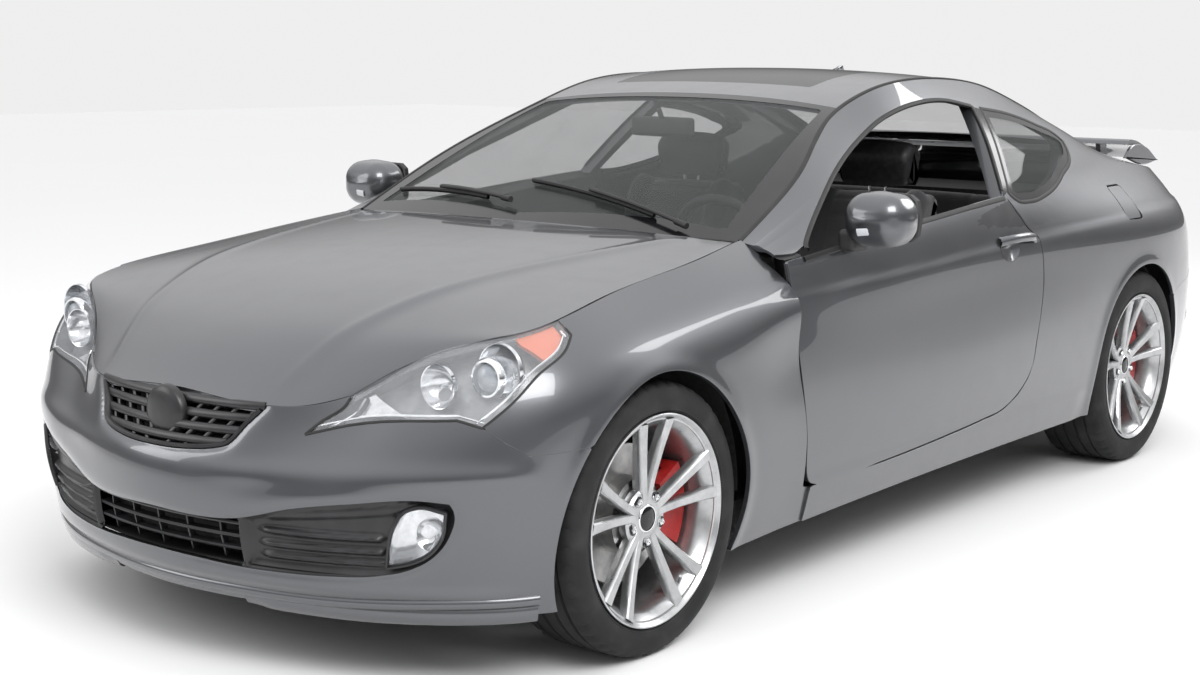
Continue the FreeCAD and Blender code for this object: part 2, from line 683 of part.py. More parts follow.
# Trunk lid: the deck and the panel between the lamps in one pressing
LID_LEVELS = (1.0, 0.95, 0.87, 0.8, 0.745)
LID_FRONT_GAP = 13.0
lid_share = 1 - shut_gap / across(560)
LID_SHARE = 0.975
lid_half = (rear_middle - tail_end) * LID_SHARE
lid_rows = [[top.point(s, share * lid_share) for share in top.t_knots]
            for s in spread(top_lengths[LID_FRONT] + LID_FRONT_GAP, top_lengths[-1], 5)]
for level in LID_LEVELS:
    lid_rows.append([rear_body.point(rear_middle + share * lid_half, level) for share in top.t_knots])
lid_surface = Surface(lid_rows, running_length([row[4] for row in lid_rows]), top.t_knots, CAR_CENTRE)
lid_places = spread(0, lid_surface.s_knots[-1], EVEN)
lid = plate(lid_surface, lid_places, lid_surface.t_knots, 0, size("lid_depth"))

# Doors
DOOR_DEPTH = 125.0
DOOR_LAP = 10.0
DOOR_SHOULDER = 842.0
door_rows = spread(0, side.s_at_x(along(-620), 0.5, 0.0, side_lengths[-1]), 16)
door = plate(side, door_rows, DOOR_T, 0, DOOR_DEPTH)
lap_rows = spread(-30, door_rows[4], 8)
lap_levels = (-0.04,) + DOOR_T[1:-1] + (1.04,)
lap_space = plate(side, lap_rows, lap_levels, DOOR_LAP, DOOR_DEPTH + 30)
door = door.cut(lap_space.common(block(size("door_end"), nose, 0, FAR_SIDE, 0, HIGH)))
door = door.cut(block(size("door_end"), nose, 0, DOOR_SHOULDER, 690, HIGH))
door = door.common(block(tail, nose, size("door_inner"), FAR_SIDE, 0, HIGH))
door = door.common(side_prism(DOOR[:-1] + DOOR_TOP))
door = max(door.Solids, key=lambda solid: solid.Volume)
door_glass = plate(side, side_rows, BELT_T, 0.5, size("glass"), run_down_at_rail)
door_glass = door_glass.common(side_prism(DOOR_WINDOW, -shut_gap, 0))
side_frame = max(side_frame.Solids, key=lambda solid: solid.Volume)


# Pieces made of plain shapes, with their sizes as formulas of the sheet
ALONG_Y = Rotation(Vector(1, 0, 0), -90)
FRONT = "Sizes.front_axle"
REAR = "Sizes.rear_axle"


def bind(item, formulas):
    for target, formula in formulas.items():
        item.setExpression(target, str(formula))


def plus(place, offset):
    return "%s + (%s)" % (place, offset)


def box(name, x, y, z):
    """A box between pairs of formulas."""
    item = doc.addObject("Part::Box", name)
    x = tuple(lengthways(value) for value in x)
    for length, (low, high) in zip(("Length", "Width", "Height"), (x, y, z)):
        bind(item, {length: "(%s) - (%s)" % (high, low)})
    bind(item, {"Placement.Base." + axis: span[0] for axis, span in zip("xyz", (x, y, z))})
    return item


def cylinder(name, radius, height, base, turn=Rotation()):
    item = doc.addObject("Part::Cylinder", name)
    item.Placement = Placement(Vector(), turn)
    bind(item, {"Radius": radius, "Height": height})
    places = (lengthways(base[0]),) + tuple(base[1:])
    bind(item, {"Placement.Base." + axis: place for axis, place in zip("xyz", places)})
    return item


def fuse(name, pieces):
    item = doc.addObject("Part::MultiFuse", name)
    item.Shapes = pieces
    return item


def cut(name, base, tool):
    item = doc.addObject("Part::Cut", name)
    item.Base = base
    item.Tool = tool
    return item


def mirror(name, source):
    item = doc.addObject("Part::Mirroring", name)
    item.Source = source
    item.Normal = Vector(0, 1, 0)
    return item


def together(name, pieces):
    item = doc.addObject("Part::Compound", name)
    item.Links = pieces
    item.Label = name
    return item


def named(name, item):
    item.Label = name
    return item


def pair(name, piece):
    """The piece and its mirror image on the car's other side."""
    return [piece, mirror(name + "_right", piece)]


# Pieces on the left wheel's steering axis
STRUT_TURN = Rotation(Vector(1, 0, 0), size("steering_lean"))


def on_steering_axis(height):
    """How far out the steering axis is at a height."""
    return "Sizes.steering_axis_out - (%s - Sizes.ball_joint_height) * tan(Sizes.steering_lean)" % height


def on_axis(name, radius, low, high):
    item = cylinder(name, radius, "(%s - %s) / cos(Sizes.steering_lean)" % (high, low),
                    (FRONT, on_steering_axis(low), low), STRUT_TURN)
    return item


# Floor pan with its inner sills, firewall, front rails and hinge pillars
floor_top = plus("Sizes.floor_bottom", 8)
floor = box("floor_sheet", (-875, 1093), (-735, 735), ("Sizes.floor_bottom", floor_top))
tunnel = box("tunnel", (-875, 1093), (-120, 120), (208, 390))
tunnel_hollow = box("tunnel_hollow", (-883, 1085), (-112, 112), (190, 382))
firewall = box("firewall", (1085, 1093), (-735, 735), (208, 868))
kick_up = box("kick_up", (-883, -875), (-735, 735), (200, 428))
trunk_floor = box("trunk_floor", (-2150, -875), (-520, 520), (420, 428))
rear_wall = box("rear_wall", (-2158, -2150), (-520, 520), (420, 700))
radiator_support = box("radiator_support", (2100, 2120), (-450, 450), (300, 600))
cowl_box = box("cowl_box", (1000, 1093), (-600, 600), (862, 890))
rear_shelf = box("rear_shelf", (-1500, -1080), (-515, 515), (940, 948))
seat_wall = box("seat_wall", (-1088, -1080), (-515, 515), (428, 940))
sill = box("inner_sill", (-883, 1093), ("Sizes.sill_inner", "Sizes.sill_face"), (200, 285))
pillar = box("hinge_pillar", (800, 1093), ("Sizes.sill_inner", 797), (285, 800))
rail_outer = "Sizes.rail_inner + Sizes.rail_width"
rail = box("front_rail", (1093, 2120), ("Sizes.rail_inner", rail_outer), (400, 500))
apron = box("apron", (1093, 1750), (444, 450), (500, 800))
tower_top = box("tower_top", (plus(FRONT, -75), plus(FRONT, 75)), (450, 690), (748, 760))
tower_front = box("tower_front", (plus(FRONT, 75), plus(FRONT, 83)), (450, 690), (748, 800))
tower_back = box("tower_back", (plus(FRONT, -83), plus(FRONT, -75)), (450, 690), (748, 800))
shelf_post = box("shelf_post", (-1500, -1440), (515, 523), (428, 948))
hood_arm = box("hood_arm", (950, 1093), (600, 622), (866, 906))
hood_pin = cylinder("hood_pin", 5, 38, (958, 600, 908), ALONG_Y)
hood_eye = cylinder("hood_eye", 9, 22, (958, 600, 908), ALONG_Y)
HINGE_EYE = 9
low_arm = box("low_hinge_arm", ("Sizes.hinge_x - 12", "Sizes.hinge_x + 12"), (797, "Sizes.hinge_y"),
              ("Sizes.hinge_low - 14", "Sizes.hinge_low + 14"))
low_eye = cylinder("low_hinge_eye", HINGE_EYE, 28, ("Sizes.hinge_x", "Sizes.hinge_y", "Sizes.hinge_low - 14"))
low_pin = cylinder("low_hinge_pin", "Sizes.hinge_pin", 76,
                   ("Sizes.hinge_x", "Sizes.hinge_y", "Sizes.hinge_low - 38"))
high_arm = box("high_hinge_arm", ("Sizes.hinge_x - 12", "Sizes.hinge_x + 12"), (797, "Sizes.hinge_y"),
               ("Sizes.hinge_high - 14", "Sizes.hinge_high + 14"))
high_eye = cylinder("high_hinge_eye", HINGE_EYE, 28, ("Sizes.hinge_x", "Sizes.hinge_y", "Sizes.hinge_high - 14"))
high_pin = cylinder("high_hinge_pin", "Sizes.hinge_pin", 76,
                    ("Sizes.hinge_x", "Sizes.hinge_y", "Sizes.hinge_high - 38"))
left_pieces = [sill, pillar, rail, apron, tower_top, tower_front, tower_back, shelf_post, hood_arm, hood_pin,
               hood_eye, low_arm, low_eye, low_pin, high_arm, high_eye, high_pin]
tower_bore = on_axis("tower_bore", "10 + Sizes.pin_clearance", 738, 775)
left_pan = cut("left_pan", fuse("left_pan_pieces", left_pieces), tower_bore)
middle_pan = fuse("middle_pan", [floor, tunnel, firewall, kick_up, trunk_floor, rear_wall, radiator_support,
                                 cowl_box, rear_shelf, seat_wall])
open_pan = cut("open_pan", middle_pan, tunnel_hollow)
named("floor_pan", fuse("floor_pan", [open_pan] + pair("left_pan", left_pan)))

# Engine and its mounts
engine = box("engine", (1150, 1750), (-250, 250), (240, 800))
engine_mount = box("engine_mount", (1400, 1500), (250, "Sizes.rail_inner"), (420, 480))
named("engine_block", fuse("engine_block", [engine] + pair("engine_mount", engine_mount)))

# Front subframe with control arms
cross_member = box("cross_member", (plus(FRONT, -90), plus(FRONT, 90)), (-380, 380), (190, 240))
post = box("subframe_post", (plus(FRONT, -60), plus(FRONT, 60)), (340, rail_outer), (190, 400))
post_hollow = box("post_hollow", (plus(FRONT, -70), plus(FRONT, 70)), (330, "Sizes.rail_inner"), (240, 410))
arm = box("control_arm", (plus(FRONT, -30), plus(FRONT, 30)), (430, 690), (196, 214))
ball_seat = cylinder("ball_seat", 30, 18, (FRONT, "Sizes.steering_axis_out", 196))
solid_subframe = fuse("solid_subframe", [post, arm, ball_seat])
ball_bore = on_axis("ball_bore", "9 + Sizes.pin_clearance", 185, 230)
left_subframe = cut("left_subframe", cut("left_subframe_pieces", solid_subframe, post_hollow), ball_bore)
named("front_subframe", fuse("front_subframe", [cross_member] + pair("left_subframe", left_subframe)))

# Rear subframe with arms, hub carriers, half shafts, springs and calipers
rear_cross = box("rear_cross", (plus(REAR, -110), plus(REAR, 110)), (-420, 420), (205, 250))
rear_post = box("rear_post", (plus(REAR, -110), plus(REAR, -60)), (380, 420), (250, 420))
final_drive = box("final_drive", (plus(REAR, -120), plus(REAR, 120)), (-110, 110), (315, 412))
half_shaft = cylinder("half_shaft", 18, 560, (REAR, 105, "Sizes.rear_hub"), ALONG_Y)
rear_arm = box("rear_arm", (plus(REAR, -35), plus(REAR, 35)), (415, 665), (215, 237))
hub_carrier = box("hub_carrier", (plus(REAR, -32), plus(REAR, 32)), (660, 715), (215, 412))
rear_stub = cylinder("rear_stub", "Sizes.stub_radius", 112, (REAR, 714, "Sizes.rear_hub"), ALONG_Y)
rear_spring = cylinder("rear_spring", 48, 184, (REAR, 465, 236))
caliper_arm = box("rear_caliper_arm", (plus(REAR, -160), plus(REAR, -30)), (700, 742), (300, 378))
rear_side = fuse("left_rear_frame", [rear_post, half_shaft, rear_arm, hub_carrier, rear_stub, rear_spring,
                                     caliper_arm])
named("rear_subframe", fuse("rear_subframe", [rear_cross, final_drive] + pair("left_rear_frame", rear_side)))

CALIPER_FROM = 150.0
CALIPER_TO = 210.0
CALIPER_IN = 118.0
CALIPER_OUT = 205.0
CALIPER_START = 742.0


def caliper(name, axle, hub):
    """A brake caliper behind the axle: a ring's sector with a slot for the disc."""
    start = (axle, CALIPER_START, hub)
    sector = cylinder(name + "_sector", CALIPER_OUT, "Sizes.caliper_width", start, ALONG_Y)
    sector.Angle = CALIPER_TO - CALIPER_FROM
    sector.Placement = Placement(Vector(), Rotation(Vector(0, 1, 0), CALIPER_FROM) * ALONG_Y)
    inside = cylinder(name + "_inside", CALIPER_IN, "Sizes.caliper_width", start, ALONG_Y)
    slot = cylinder(name + "_slot", "Sizes.disc_radius + 6", "Sizes.disc_thickness + 12",
                    (axle, 765, hub), ALONG_Y)
    return cut(name, cut(name + "_ring", sector, inside), slot)


rear_caliper = caliper("rear_caliper", REAR, "Sizes.rear_hub")
together("rear_calipers", pair("rear_caliper", rear_caliper))

# Steering knuckles: the left one, and its mirror image on the right
knuckle_pieces = [
    cylinder("ball_boss", 26, 38, (FRONT, 699, 222)),
    box("upright", (plus(FRONT, -25), plus(FRONT, 25)), (665, 715), (240, 430)),
    cylinder("hub", 48, 90, (FRONT, 655, "Sizes.front_hub"), ALONG_Y),
    cylinder("stub", "Sizes.stub_radius", 82, (FRONT, 744, "Sizes.front_hub"), ALONG_Y),
    box("caliper_bracket", (plus(FRONT, -150), plus(FRONT, -40)), (700, CALIPER_START), (292, 370)),
    on_axis("strut", 26, 400, 690),
    on_axis("spring", 60, 674, 730),
    on_axis("top_pin", 10, 725, 757),
    on_axis("ball_pin", 9, 200, 230),
]
knuckle = named("knuckle_l", fuse("knuckle_l", knuckle_pieces))
named("knuckle_r", mirror("knuckle_r", knuckle))
front_caliper = named("caliper_fl", caliper("caliper_fl", FRONT, "Sizes.front_hub"))
named("caliper_fr", mirror("caliper_fr", front_caliper))

# Wheels, revolved in sketches
def revolved(name, profile, axle, hub):
    """A body of revolution round a wheel's axis. The profile is radius and distance from the car's middle."""
    body = doc.addObject("PartDesign::Body", name)
    sketch = body.newObject("Sketcher::SketchObject", name + "_profile")
    corners = [Vector(radius, out, 0) for radius, out in profile]
    for k, corner in enumerate(corners):
        sketch.addGeometry(Part.LineSegment(corner, corners[(k + 1) % len(corners)]))
    for k in range(len(corners)):
        sketch.addConstraint(Sketcher.Constraint("Coincident", k, 2, (k + 1) % len(corners), 1))
    for k, corner in enumerate(corners):
        sketch.addConstraint(Sketcher.Constraint("DistanceX", -1, 1, k, 1, corner.x))
        sketch.addConstraint(Sketcher.Constraint("DistanceY", -1, 1, k, 1, corner.y))
    turned = body.newObject("PartDesign::Revolution", name + "_turned")
    turned.Profile = sketch
    turned.ReferenceAxis = (sketch, ["V_Axis"])
    turned.Angle = 360
    body.Tip = turned
    bind(body, {"Placement.Base.x": axle, "Placement.Base.z": hub})
    return body


stub_bore = size("stub_radius") + size("bearing_clearance")
disc_in = 771.0
disc_out = disc_in + size("disc_thickness")
rim_face = size("rim_face")
disc_profile = [(stub_bore, 750), (45, 750), (45, rim_face - 12), (87, rim_face - 12), (87, disc_in),
                (size("disc_radius"), disc_in), (size("disc_radius"), disc_out), (95, disc_out),
                (95, rim_face), (stub_bore, rim_face)]
middle = size("track") / 2
bead = size("rim_diameter") / 2
lip = bead + size("rim_lip")
wall = size("rim_wall")


def tyre_profile(width, diameter):
    half = width / 2
    outside = diameter / 2
    right = [(bead + 0.2, half - 14.5), (lip + 1.5, half - 13), (lip + 32, half), (outside - 14, half - 9),
             (outside, half - 32)]
    return [(radius, middle + out) for radius, out in right] + \
           [(radius, middle - out) for radius, out in reversed(right)]


def rim_profile(width):
    half = width / 2
    edge = middle + half - 4
    back = middle - half + 4
    return [(lip, edge), (lip, edge - 8), (bead, edge - 10), (bead, edge - 38), (bead - 14, edge - 50),
            (bead - 14, back + 50), (bead, back + 38), (bead, back + 10), (lip, back + 8), (lip, back),
            (lip - wall, back), (bead - wall, back + 14), (bead - wall - 14, back + 50),
            (bead - wall - 14, edge - 40), (bead - wall, edge - 14), (lip - wall, edge)]


SPOKE_ROOT = 52.0
SPOKE_HALF_ANGLE = (9.0, 14.0)
SPOKE_WIDTH = (24.0, 27.0)
NUT_DEPTH = 16.0


def spoke(side_sign, edge):
    """One bar of a twin spoke, from the centre to the rim."""
    wires = []
    reach = (SPOKE_ROOT, bead - wall - 8)
    faces = ((rim_face + 2, rim_face + 34), (edge - 34, edge - 8))
    for radius, angle, width, (back, front) in zip(reach, SPOKE_HALF_ANGLE, SPOKE_WIDTH, faces):
        turn = math.radians(angle) * side_sign
        x, z = radius * math.sin(turn), radius * math.cos(turn)
        corners = [Vector(x - width / 2, back, z), Vector(x + width / 2, back, z),
                   Vector(x + width / 2 - 5, front, z), Vector(x - width / 2 + 5, front, z)]
        wires.append(Part.makePolygon(corners + corners[:1]))
    return Part.makeLoft(wires, True, True)


def wheel_centre(name, width, axle, hub):
    """Spokes, centre and nut pockets of a wheel."""
    edge = middle + width / 2 - 4
    count = int(size("spoke_count"))
    centre = Part.makeCylinder(size("hub_radius"), 32, Vector(0, rim_face, 0), Vector(0, 1, 0))
    bars = []
    for k in range(count):
        for sign in (-1, 1):
            bar = spoke(sign, edge)
            bar.rotate(Vector(), Vector(0, 1, 0), 360.0 * k / count)
            bars.append(bar)
    star = centre.multiFuse(bars)
    for k in range(count):
        turn = math.radians(360.0 * (k + 0.5) / count)
        place = Vector(size("bolt_circle") / 2 * math.sin(turn), rim_face + 32 - NUT_DEPTH,
                       size("bolt_circle") / 2 * math.cos(turn))
        star = star.cut(Part.makeCylinder(size("nut_radius"), NUT_DEPTH + 1, place, Vector(0, 1, 0)))
    item = feature(name, star)
    bind(item, {"Placement.Base.x": axle, "Placement.Base.z": hub})
    return item


def wheel(end, axle, hub, width, diameter):
    """Tyre, rim and disc of the left wheel, and their mirror images."""
    tyre = revolved("tyre_%sl" % end, tyre_profile(width, diameter), axle, hub)
    barrel = revolved("barrel_%s" % end, rim_profile(width), axle, hub)
    star = wheel_centre("star_%s" % end, width, axle, hub)
    rim = named("rim_%sl" % end, fuse("rim_%sl" % end, [barrel, star]))
    disc = revolved("disc_%sl" % end, disc_profile, axle, hub)
    for kind, item in (("tyre", tyre), ("rim", rim), ("disc", disc)):
        named("%s_%sr" % (kind, end), mirror("%s_%sr" % (kind, end), item))


wheel("f", FRONT, "Sizes.front_hub", size("front_tyre_width"), size("front_tyre_diameter"))
wheel("r", REAR, "Sizes.rear_hub", size("rear_tyre_width"), size("rear_tyre_diameter"))


# Wheel arch liners
def liner(name, axle, hub, tyre_diameter, gap, inner, outer):
    outside = "Sizes.%s / 2 + Sizes.%s + Sizes.liner_wall" % (tyre_diameter, gap)
    length = outer - inner
    whole = cylinder(name + "_outside", outside, length, (axle, inner, hub), ALONG_Y)
    hollow = cylinder(name + "_hollow", "Sizes.%s / 2 + Sizes.%s" % (tyre_diameter, gap), length,
                      (axle, inner, hub), ALONG_Y)
    low = box(name + "_low", (plus(axle, -500), plus(axle, 500)), (inner - 1, outer + 1), (-200, 320))
    return cut(name, cut(name + "_ring", whole, hollow), low)


front_liner = liner("front_liner", FRONT, "Sizes.front_hub", "front_tyre_diameter", "liner_gap", 507, 850)
strut_hole = cylinder("strut_hole", 84, 300, (FRONT, 612, 600))
front_liner = cut("front_liner_open", front_liner, strut_hole)
rear_liner = liner("rear_liner", REAR, "Sizes.rear_hub", "rear_tyre_diameter", "rear_liner_gap", 600, 850)
together("wheel_liners", pair("front_liner", front_liner) + pair("rear_liner", rear_liner))


# Body sides with fuel opening, lid pins and door hinges' partners
left_frame = side_frame.cut(side_prism(FUEL_DOOR, 6, 600))
LID_PIN = (along(-1575), up(1076))
LID_PIN_RADIUS = 4.0
LID_PIN_IN = 528.0
lid_pin = Part.makeCylinder(LID_PIN_RADIUS, 40, Vector(LID_PIN[0], LID_PIN_IN, LID_PIN[1]), Vector(0, 1, 0))
flap_s = side.s_at_x(along(-1178), 0.86, 0.0, side_lengths[-1])
FLAP_PIN = 2.0
FLAP_PIN_ROOM = 0.5
FLAP_ROOM = 17.0
FLAP_PIN_ENDS = ((855, 8), (985, 5))
FLAP_BETWEEN_LUGS = (892, 954)
FLAP_DEPTH = 9.0
LUG_DEPTH = 17.0
FLAP_LUGS = ((871, 890), (956, 975))
FRAME_LUG = [(-1156, 846), (-1156, 860), (-1190, 860), (-1190, 846)]


def on_side_at_height(s, height):
    """The point of the body side's surface at a height."""
    low, high = LEVELS[-3], SIDE_LEVELS[-2]
    for _ in range(30):
        middle = (low + high) / 2
        if side.point(s, middle).z < height:
            low = middle
        else:
            high = middle
    return side.point(s, low)


flap_ends = [on_side_at_height(flap_s, height) - Vector(0, depth, 0) for height, depth in FLAP_PIN_ENDS]
flap_low, flap_high = flap_ends
flap_axis = (flap_high - flap_low).normalize()


def on_flap_axis(radius, low, high):
    """A cylinder on the flap's hinge axis between two heights."""
    start = flap_low + flap_axis * ((low - flap_low.z) / flap_axis.z)
    return Part.makeCylinder(radius, (high - low) / flap_axis.z, start, flap_axis)


flap_rows = spread(flap_s - 30, flap_s + 160, 6)
FLAP_LEVELS = (0.7, 0.78, 0.86, 0.94, 1.0)
flap = plate(side, flap_rows, FLAP_LEVELS, 0, FLAP_DEPTH).common(side_prism(FUEL_DOOR, 0, 600))
deep = plate(side, spread(flap_s - 60, flap_s + 60, 5), (0.6,) + FLAP_LEVELS, 0, LUG_DEPTH)
for low, high in FLAP_LUGS:
    lug = [(-1169, low), (-1169, high), (-1189, high), (-1189, low)]
    flap = flap.fuse(deep.common(side_prism(lug, 0, 600)))
low, high = FLAP_PIN_ENDS[0][0], FLAP_PIN_ENDS[1][0]
feature("fuel_flap", flap.cut(on_flap_axis(FLAP_PIN + FLAP_PIN_ROOM, low - 3, high + 3)))
pins = on_flap_axis(FLAP_PIN, low - 2, high + 10).cut(on_flap_axis(FLAP_PIN + 3, *FLAP_BETWEEN_LUGS))
left_frame = left_frame.cut(on_flap_axis(FLAP_ROOM, low + 4, high + 1))
left_frame = left_frame.fuse(deep.common(side_prism(FRAME_LUG, 0, 600))).fuse(lid_pin).fuse(pins)
feature("side_frame_l", left_frame)
feature("side_frame_r", mirrored(side_frame.fuse(lid_pin)))

# Trunk lid with its hinge lugs, and the spoiler on it
lug = block(LID_PIN[0] - 14, LID_PIN[0] + 7, LID_PIN_IN, 546, LID_PIN[1] - 9, LID_PIN[1] + 8)
hole_start = Vector(LID_PIN[0], LID_PIN_IN - 5, LID_PIN[1])
lug_hole = Part.makeCylinder(LID_PIN_RADIUS + 0.5, 60, hole_start, Vector(0, 1, 0))
lid_whole = lid.fuse(lug).fuse(mirrored(lug)).cut(lug_hole).cut(mirrored(lug_hole))
feature("trunk_lid", lid_whole)
WING = [(-1900, 1090), (-1913, 1103), (-1975, 1105), (-2060, 1085), (-2178, 1035), (-2174, 1026),
        (-2060, 1068), (-1965, 1086)]
WING_END = [(-1873, 1041), (-1926, 1084), (-1985, 1090), (-2067, 1075), (-2189, 1020), (-2051, 1007)]
WING_POST = [(-1960, 1095), (-2030, 1084), (-2045, 1000), (-1990, 1000)]
WING_SPAN = 585.0
WING_WALL = 15.0
POST_PLACE = (432, 450)
wing = side_prism(WING, 0, -WING_SPAN, WING_SPAN)
wing_end = side_prism(WING_END, 0, WING_SPAN, WING_SPAN + WING_WALL)
under_lid = plate(lid_surface, spread(0, lid_surface.s_knots[-1], EVEN), lid_surface.t_knots, 0, 200)
wing_post = side_prism(WING_POST, 0, *POST_PLACE).cut(under_lid)
spoiler = wing.multiFuse([wing_end, mirrored(wing_end), wing_post, mirrored(wing_post)])
feature("spoiler", spoiler)

# Hood with its hinge lugs
HOOD_PIN = (moved(958.0), 908.0)
lug = block(HOOD_PIN[0] - 12, HOOD_PIN[0] + 42, 624, 637, HOOD_PIN[1] - 10, 925)
lug_hole = Part.makeCylinder(5.5, 60, Vector(HOOD_PIN[0], 600, HOOD_PIN[1]), Vector(0, 1, 0))
hood_whole = hood.fuse(lug).fuse(mirrored(lug)).cut(lug_hole).cut(mirrored(lug_hole))
feature("hood", hood_whole)

# Doors with their hinge leaves
leaves = []
hinge_x = size("hinge_x")
hinge_y = size("hinge_y")
for height in (size("hinge_low"), size("hinge_high")):
    for low, high in ((height - 38, height - 14.6), (height + 14.6, height + 38)):
        eye = Part.makeCylinder(11, high - low, Vector(hinge_x, hinge_y, low))
        leaf = block(size("door_end") - 4, hinge_x, hinge_y - 11, hinge_y + 11, low, high)
        hole = Part.makeCylinder(size("hinge_pin") + 0.4, high - low, Vector(hinge_x, hinge_y, low))
        leaves.append(eye.fuse(leaf).cut(hole))
door_whole = door.multiFuse(leaves)
feature("door_l", door_whole)
feature("door_r", mirrored(door_whole))
feature("door_glass_r", mirrored(door_glass))

# Mirrors: a rounded housing, open to the rear where its glass sits
MIRROR_BACK = size("hinge_x") - 307
MIRROR_ROUND = 52.0
housing = box("mirror_housing", ("Sizes.hinge_x - 407", "Sizes.hinge_x - 145"), (868, 1048), (918, 1060))
doc.recompute()
mirror_shell = housing.Shape.makeFillet(MIRROR_ROUND, housing.Shape.Edges)
mirror_shell = mirror_shell.cut(block(MIRROR_BACK - 200, MIRROR_BACK, 800, 1200, 800, 1200))
mirror_foot = block(MIRROR_BACK + 52, MIRROR_BACK + 132, 861, 932, 896, 965)
mirror_whole = mirror_shell.fuse(mirror_foot).cut(door_whole)
mirror_whole = max(mirror_whole.Solids, key=lambda solid: solid.Volume)
feature("mirror_l", mirror_whole)
feature("mirror_r", mirrored(mirror_whole))

# Fog lamps in the ends of the lower opening
FOG = [(-738, 425), (-688, 438), (-662, 428), (-640, 392), (-622, 330), (-612, 290), (-655, 300), (-690, 318),
       (-728, 368)]
fog = plate(front_body, spread(front_middle + 300, front_middle + grille_reach + 60, 14),
            (0.05, 0.17, 0.3, 0.42, 0.54, 0.66), GRILLE_FAR + 0.3, 70)
fog = fog.common(front_prism([(-y, z) for y, z in FOG]))
feature("fog_lamps", Part.makeCompound([fog, mirrored(fog)]))

# Cowl, wipers
cowl = box("cowl_tray", (930, 1093), (-594, 594), (890, 896))
named("cowl_panel", cowl)
WIPERS = [((1000, 560), (905, -60)), ((1022, -40), (900, -600))]
WIPER_LIFT = Vector(-10, 0, 25)


def wiper(foot, tip):
    """A wiper arm with its blade, just above the windshield's surface."""
    corners = []
    for x, y in (foot, tip):
        low, high = top_lengths[0], top_lengths[2]
        share = y / 700.0
        s = top.s_at_x(along(x - 45), max(-0.97, min(0.97, -share)), low, high)
        corners.append(top.point(s, max(-0.97, min(0.97, -share))))
    run = corners[1] - corners[0]
    across_run = Vector(-run.y, run.x, 0).normalize() * 9
    foot_at, tip_at = [corner + WIPER_LIFT for corner in corners]
    base = [foot_at - across_run, foot_at + across_run,
            tip_at + across_run * 0.5, tip_at - across_run * 0.5]
    face = Part.Face(Part.makePolygon(base + base[:1]))
    return face.extrude(Vector(3, 0, 9))


feature("wipers", Part.makeCompound([wiper(*ends) for ends in WIPERS]))

# Cabin
DASH = [(1080, 620), (1080, 850), (995, 862), (915, 886), (770, 880), (695, 840), (705, 745), (790, 640)]
dash = side_prism(DASH, 0, -592, 592)
cluster = side_prism([(700, 840), (690, 915), (800, 925), (860, 880)], 0, 240, 500)
console = side_prism([(780, 390), (780, 700), (660, 600), (250, 520), (-200, 520), (-200, 390)], 0, -105, 105)
STEER_CENTRE = Vector(moved(470), 370, 850)
STEER_TILT = math.radians(25)
COLUMN_END = 719.2
COLUMN_START = 45.0
steer_axis = Vector(-math.cos(STEER_TILT), 0, math.sin(STEER_TILT))
column_reach = (moved(COLUMN_END) - STEER_CENTRE.x) / math.cos(STEER_TILT)
column_end = STEER_CENTRE - steer_axis * column_reach
column = Part.makeCylinder(24, column_reach - COLUMN_START, column_end, steer_axis)
shaft_end = STEER_CENTRE - steer_axis * 90
shaft = Part.makeCylinder(9, 60, shaft_end, steer_axis)
shaft_bore = Part.makeCylinder(9 + size("pin_clearance"), 60, shaft_end, steer_axis)
feature("dashboard", dash.multiFuse([cluster, console, column]).cut(shaft_bore))
ring = Part.makeTorus(172, 15, STEER_CENTRE, steer_axis)
hub = Part.makeCylinder(52, 34, STEER_CENTRE - steer_axis * 40, steer_axis)
bars = []
for turn in (0, 180, 270):
    bar = block(-14, 14, 20, 172, -28, -12)
    bar.rotate(Vector(), Vector(0, 0, 1), turn + 90)
    bar.Placement = Placement(STEER_CENTRE, Rotation(Vector(0, 0, 1), steer_axis)).multiply(bar.Placement)
    bars.append(bar)
feature("steering_wheel", ring.multiFuse([hub, shaft] + bars))

CUSHION = [(-130, 300), (330, 330), (350, 420), (300, 455), (60, 420), (-140, 400)]
BACK = [(-140, 330), (-60, 410), (-230, 780), (-330, 980), (-400, 980), (-420, 900), (-300, 560), (-250, 330)]
HEAD = [(-345, 1000), (-330, 1120), (-370, 1150), (-430, 1130), (-425, 1000)]
SEAT = (150, 600)


def seat(low, high):
    cushion = side_prism(CUSHION, 0, low, high)
    back = side_prism(BACK, 0, low + 12, high - 12)
    head = side_prism(HEAD, 0, (low + high) / 2 - 130, (low + high) / 2 + 130)
    stalk = side_prism([(-365, 975), (-365, 1010), (-395, 1010), (-395, 975)], 0, (low + high) / 2 - 40,
                       (low + high) / 2 + 40)
    base = block(along(-100), along(250), low + 60, high - 60, 208, 345)
    return cushion.multiFuse([back, head, stalk, base])


left_seat = seat(*SEAT)
feature("front_seats", Part.makeCompound([left_seat, mirrored(left_seat)]))
REAR_CUSHION = [(-860, 208), (-480, 208), (-470, 420), (-560, 455), (-820, 400), (-872, 430)]
REAR_BACK = [(-868, 402), (-800, 396), (-930, 860), (-960, 935), (-1060, 935), (-1070, 640), (-900, 442),
             (-868, 434)]
rear_seat = side_prism(REAR_CUSHION, 0, -600, 600).fuse(side_prism(REAR_BACK, 0, -500, 500))
feature("rear_seat", rear_seat.cut(block(along(-900), along(-400), -120.3, 120.3, 200, 390.3)))

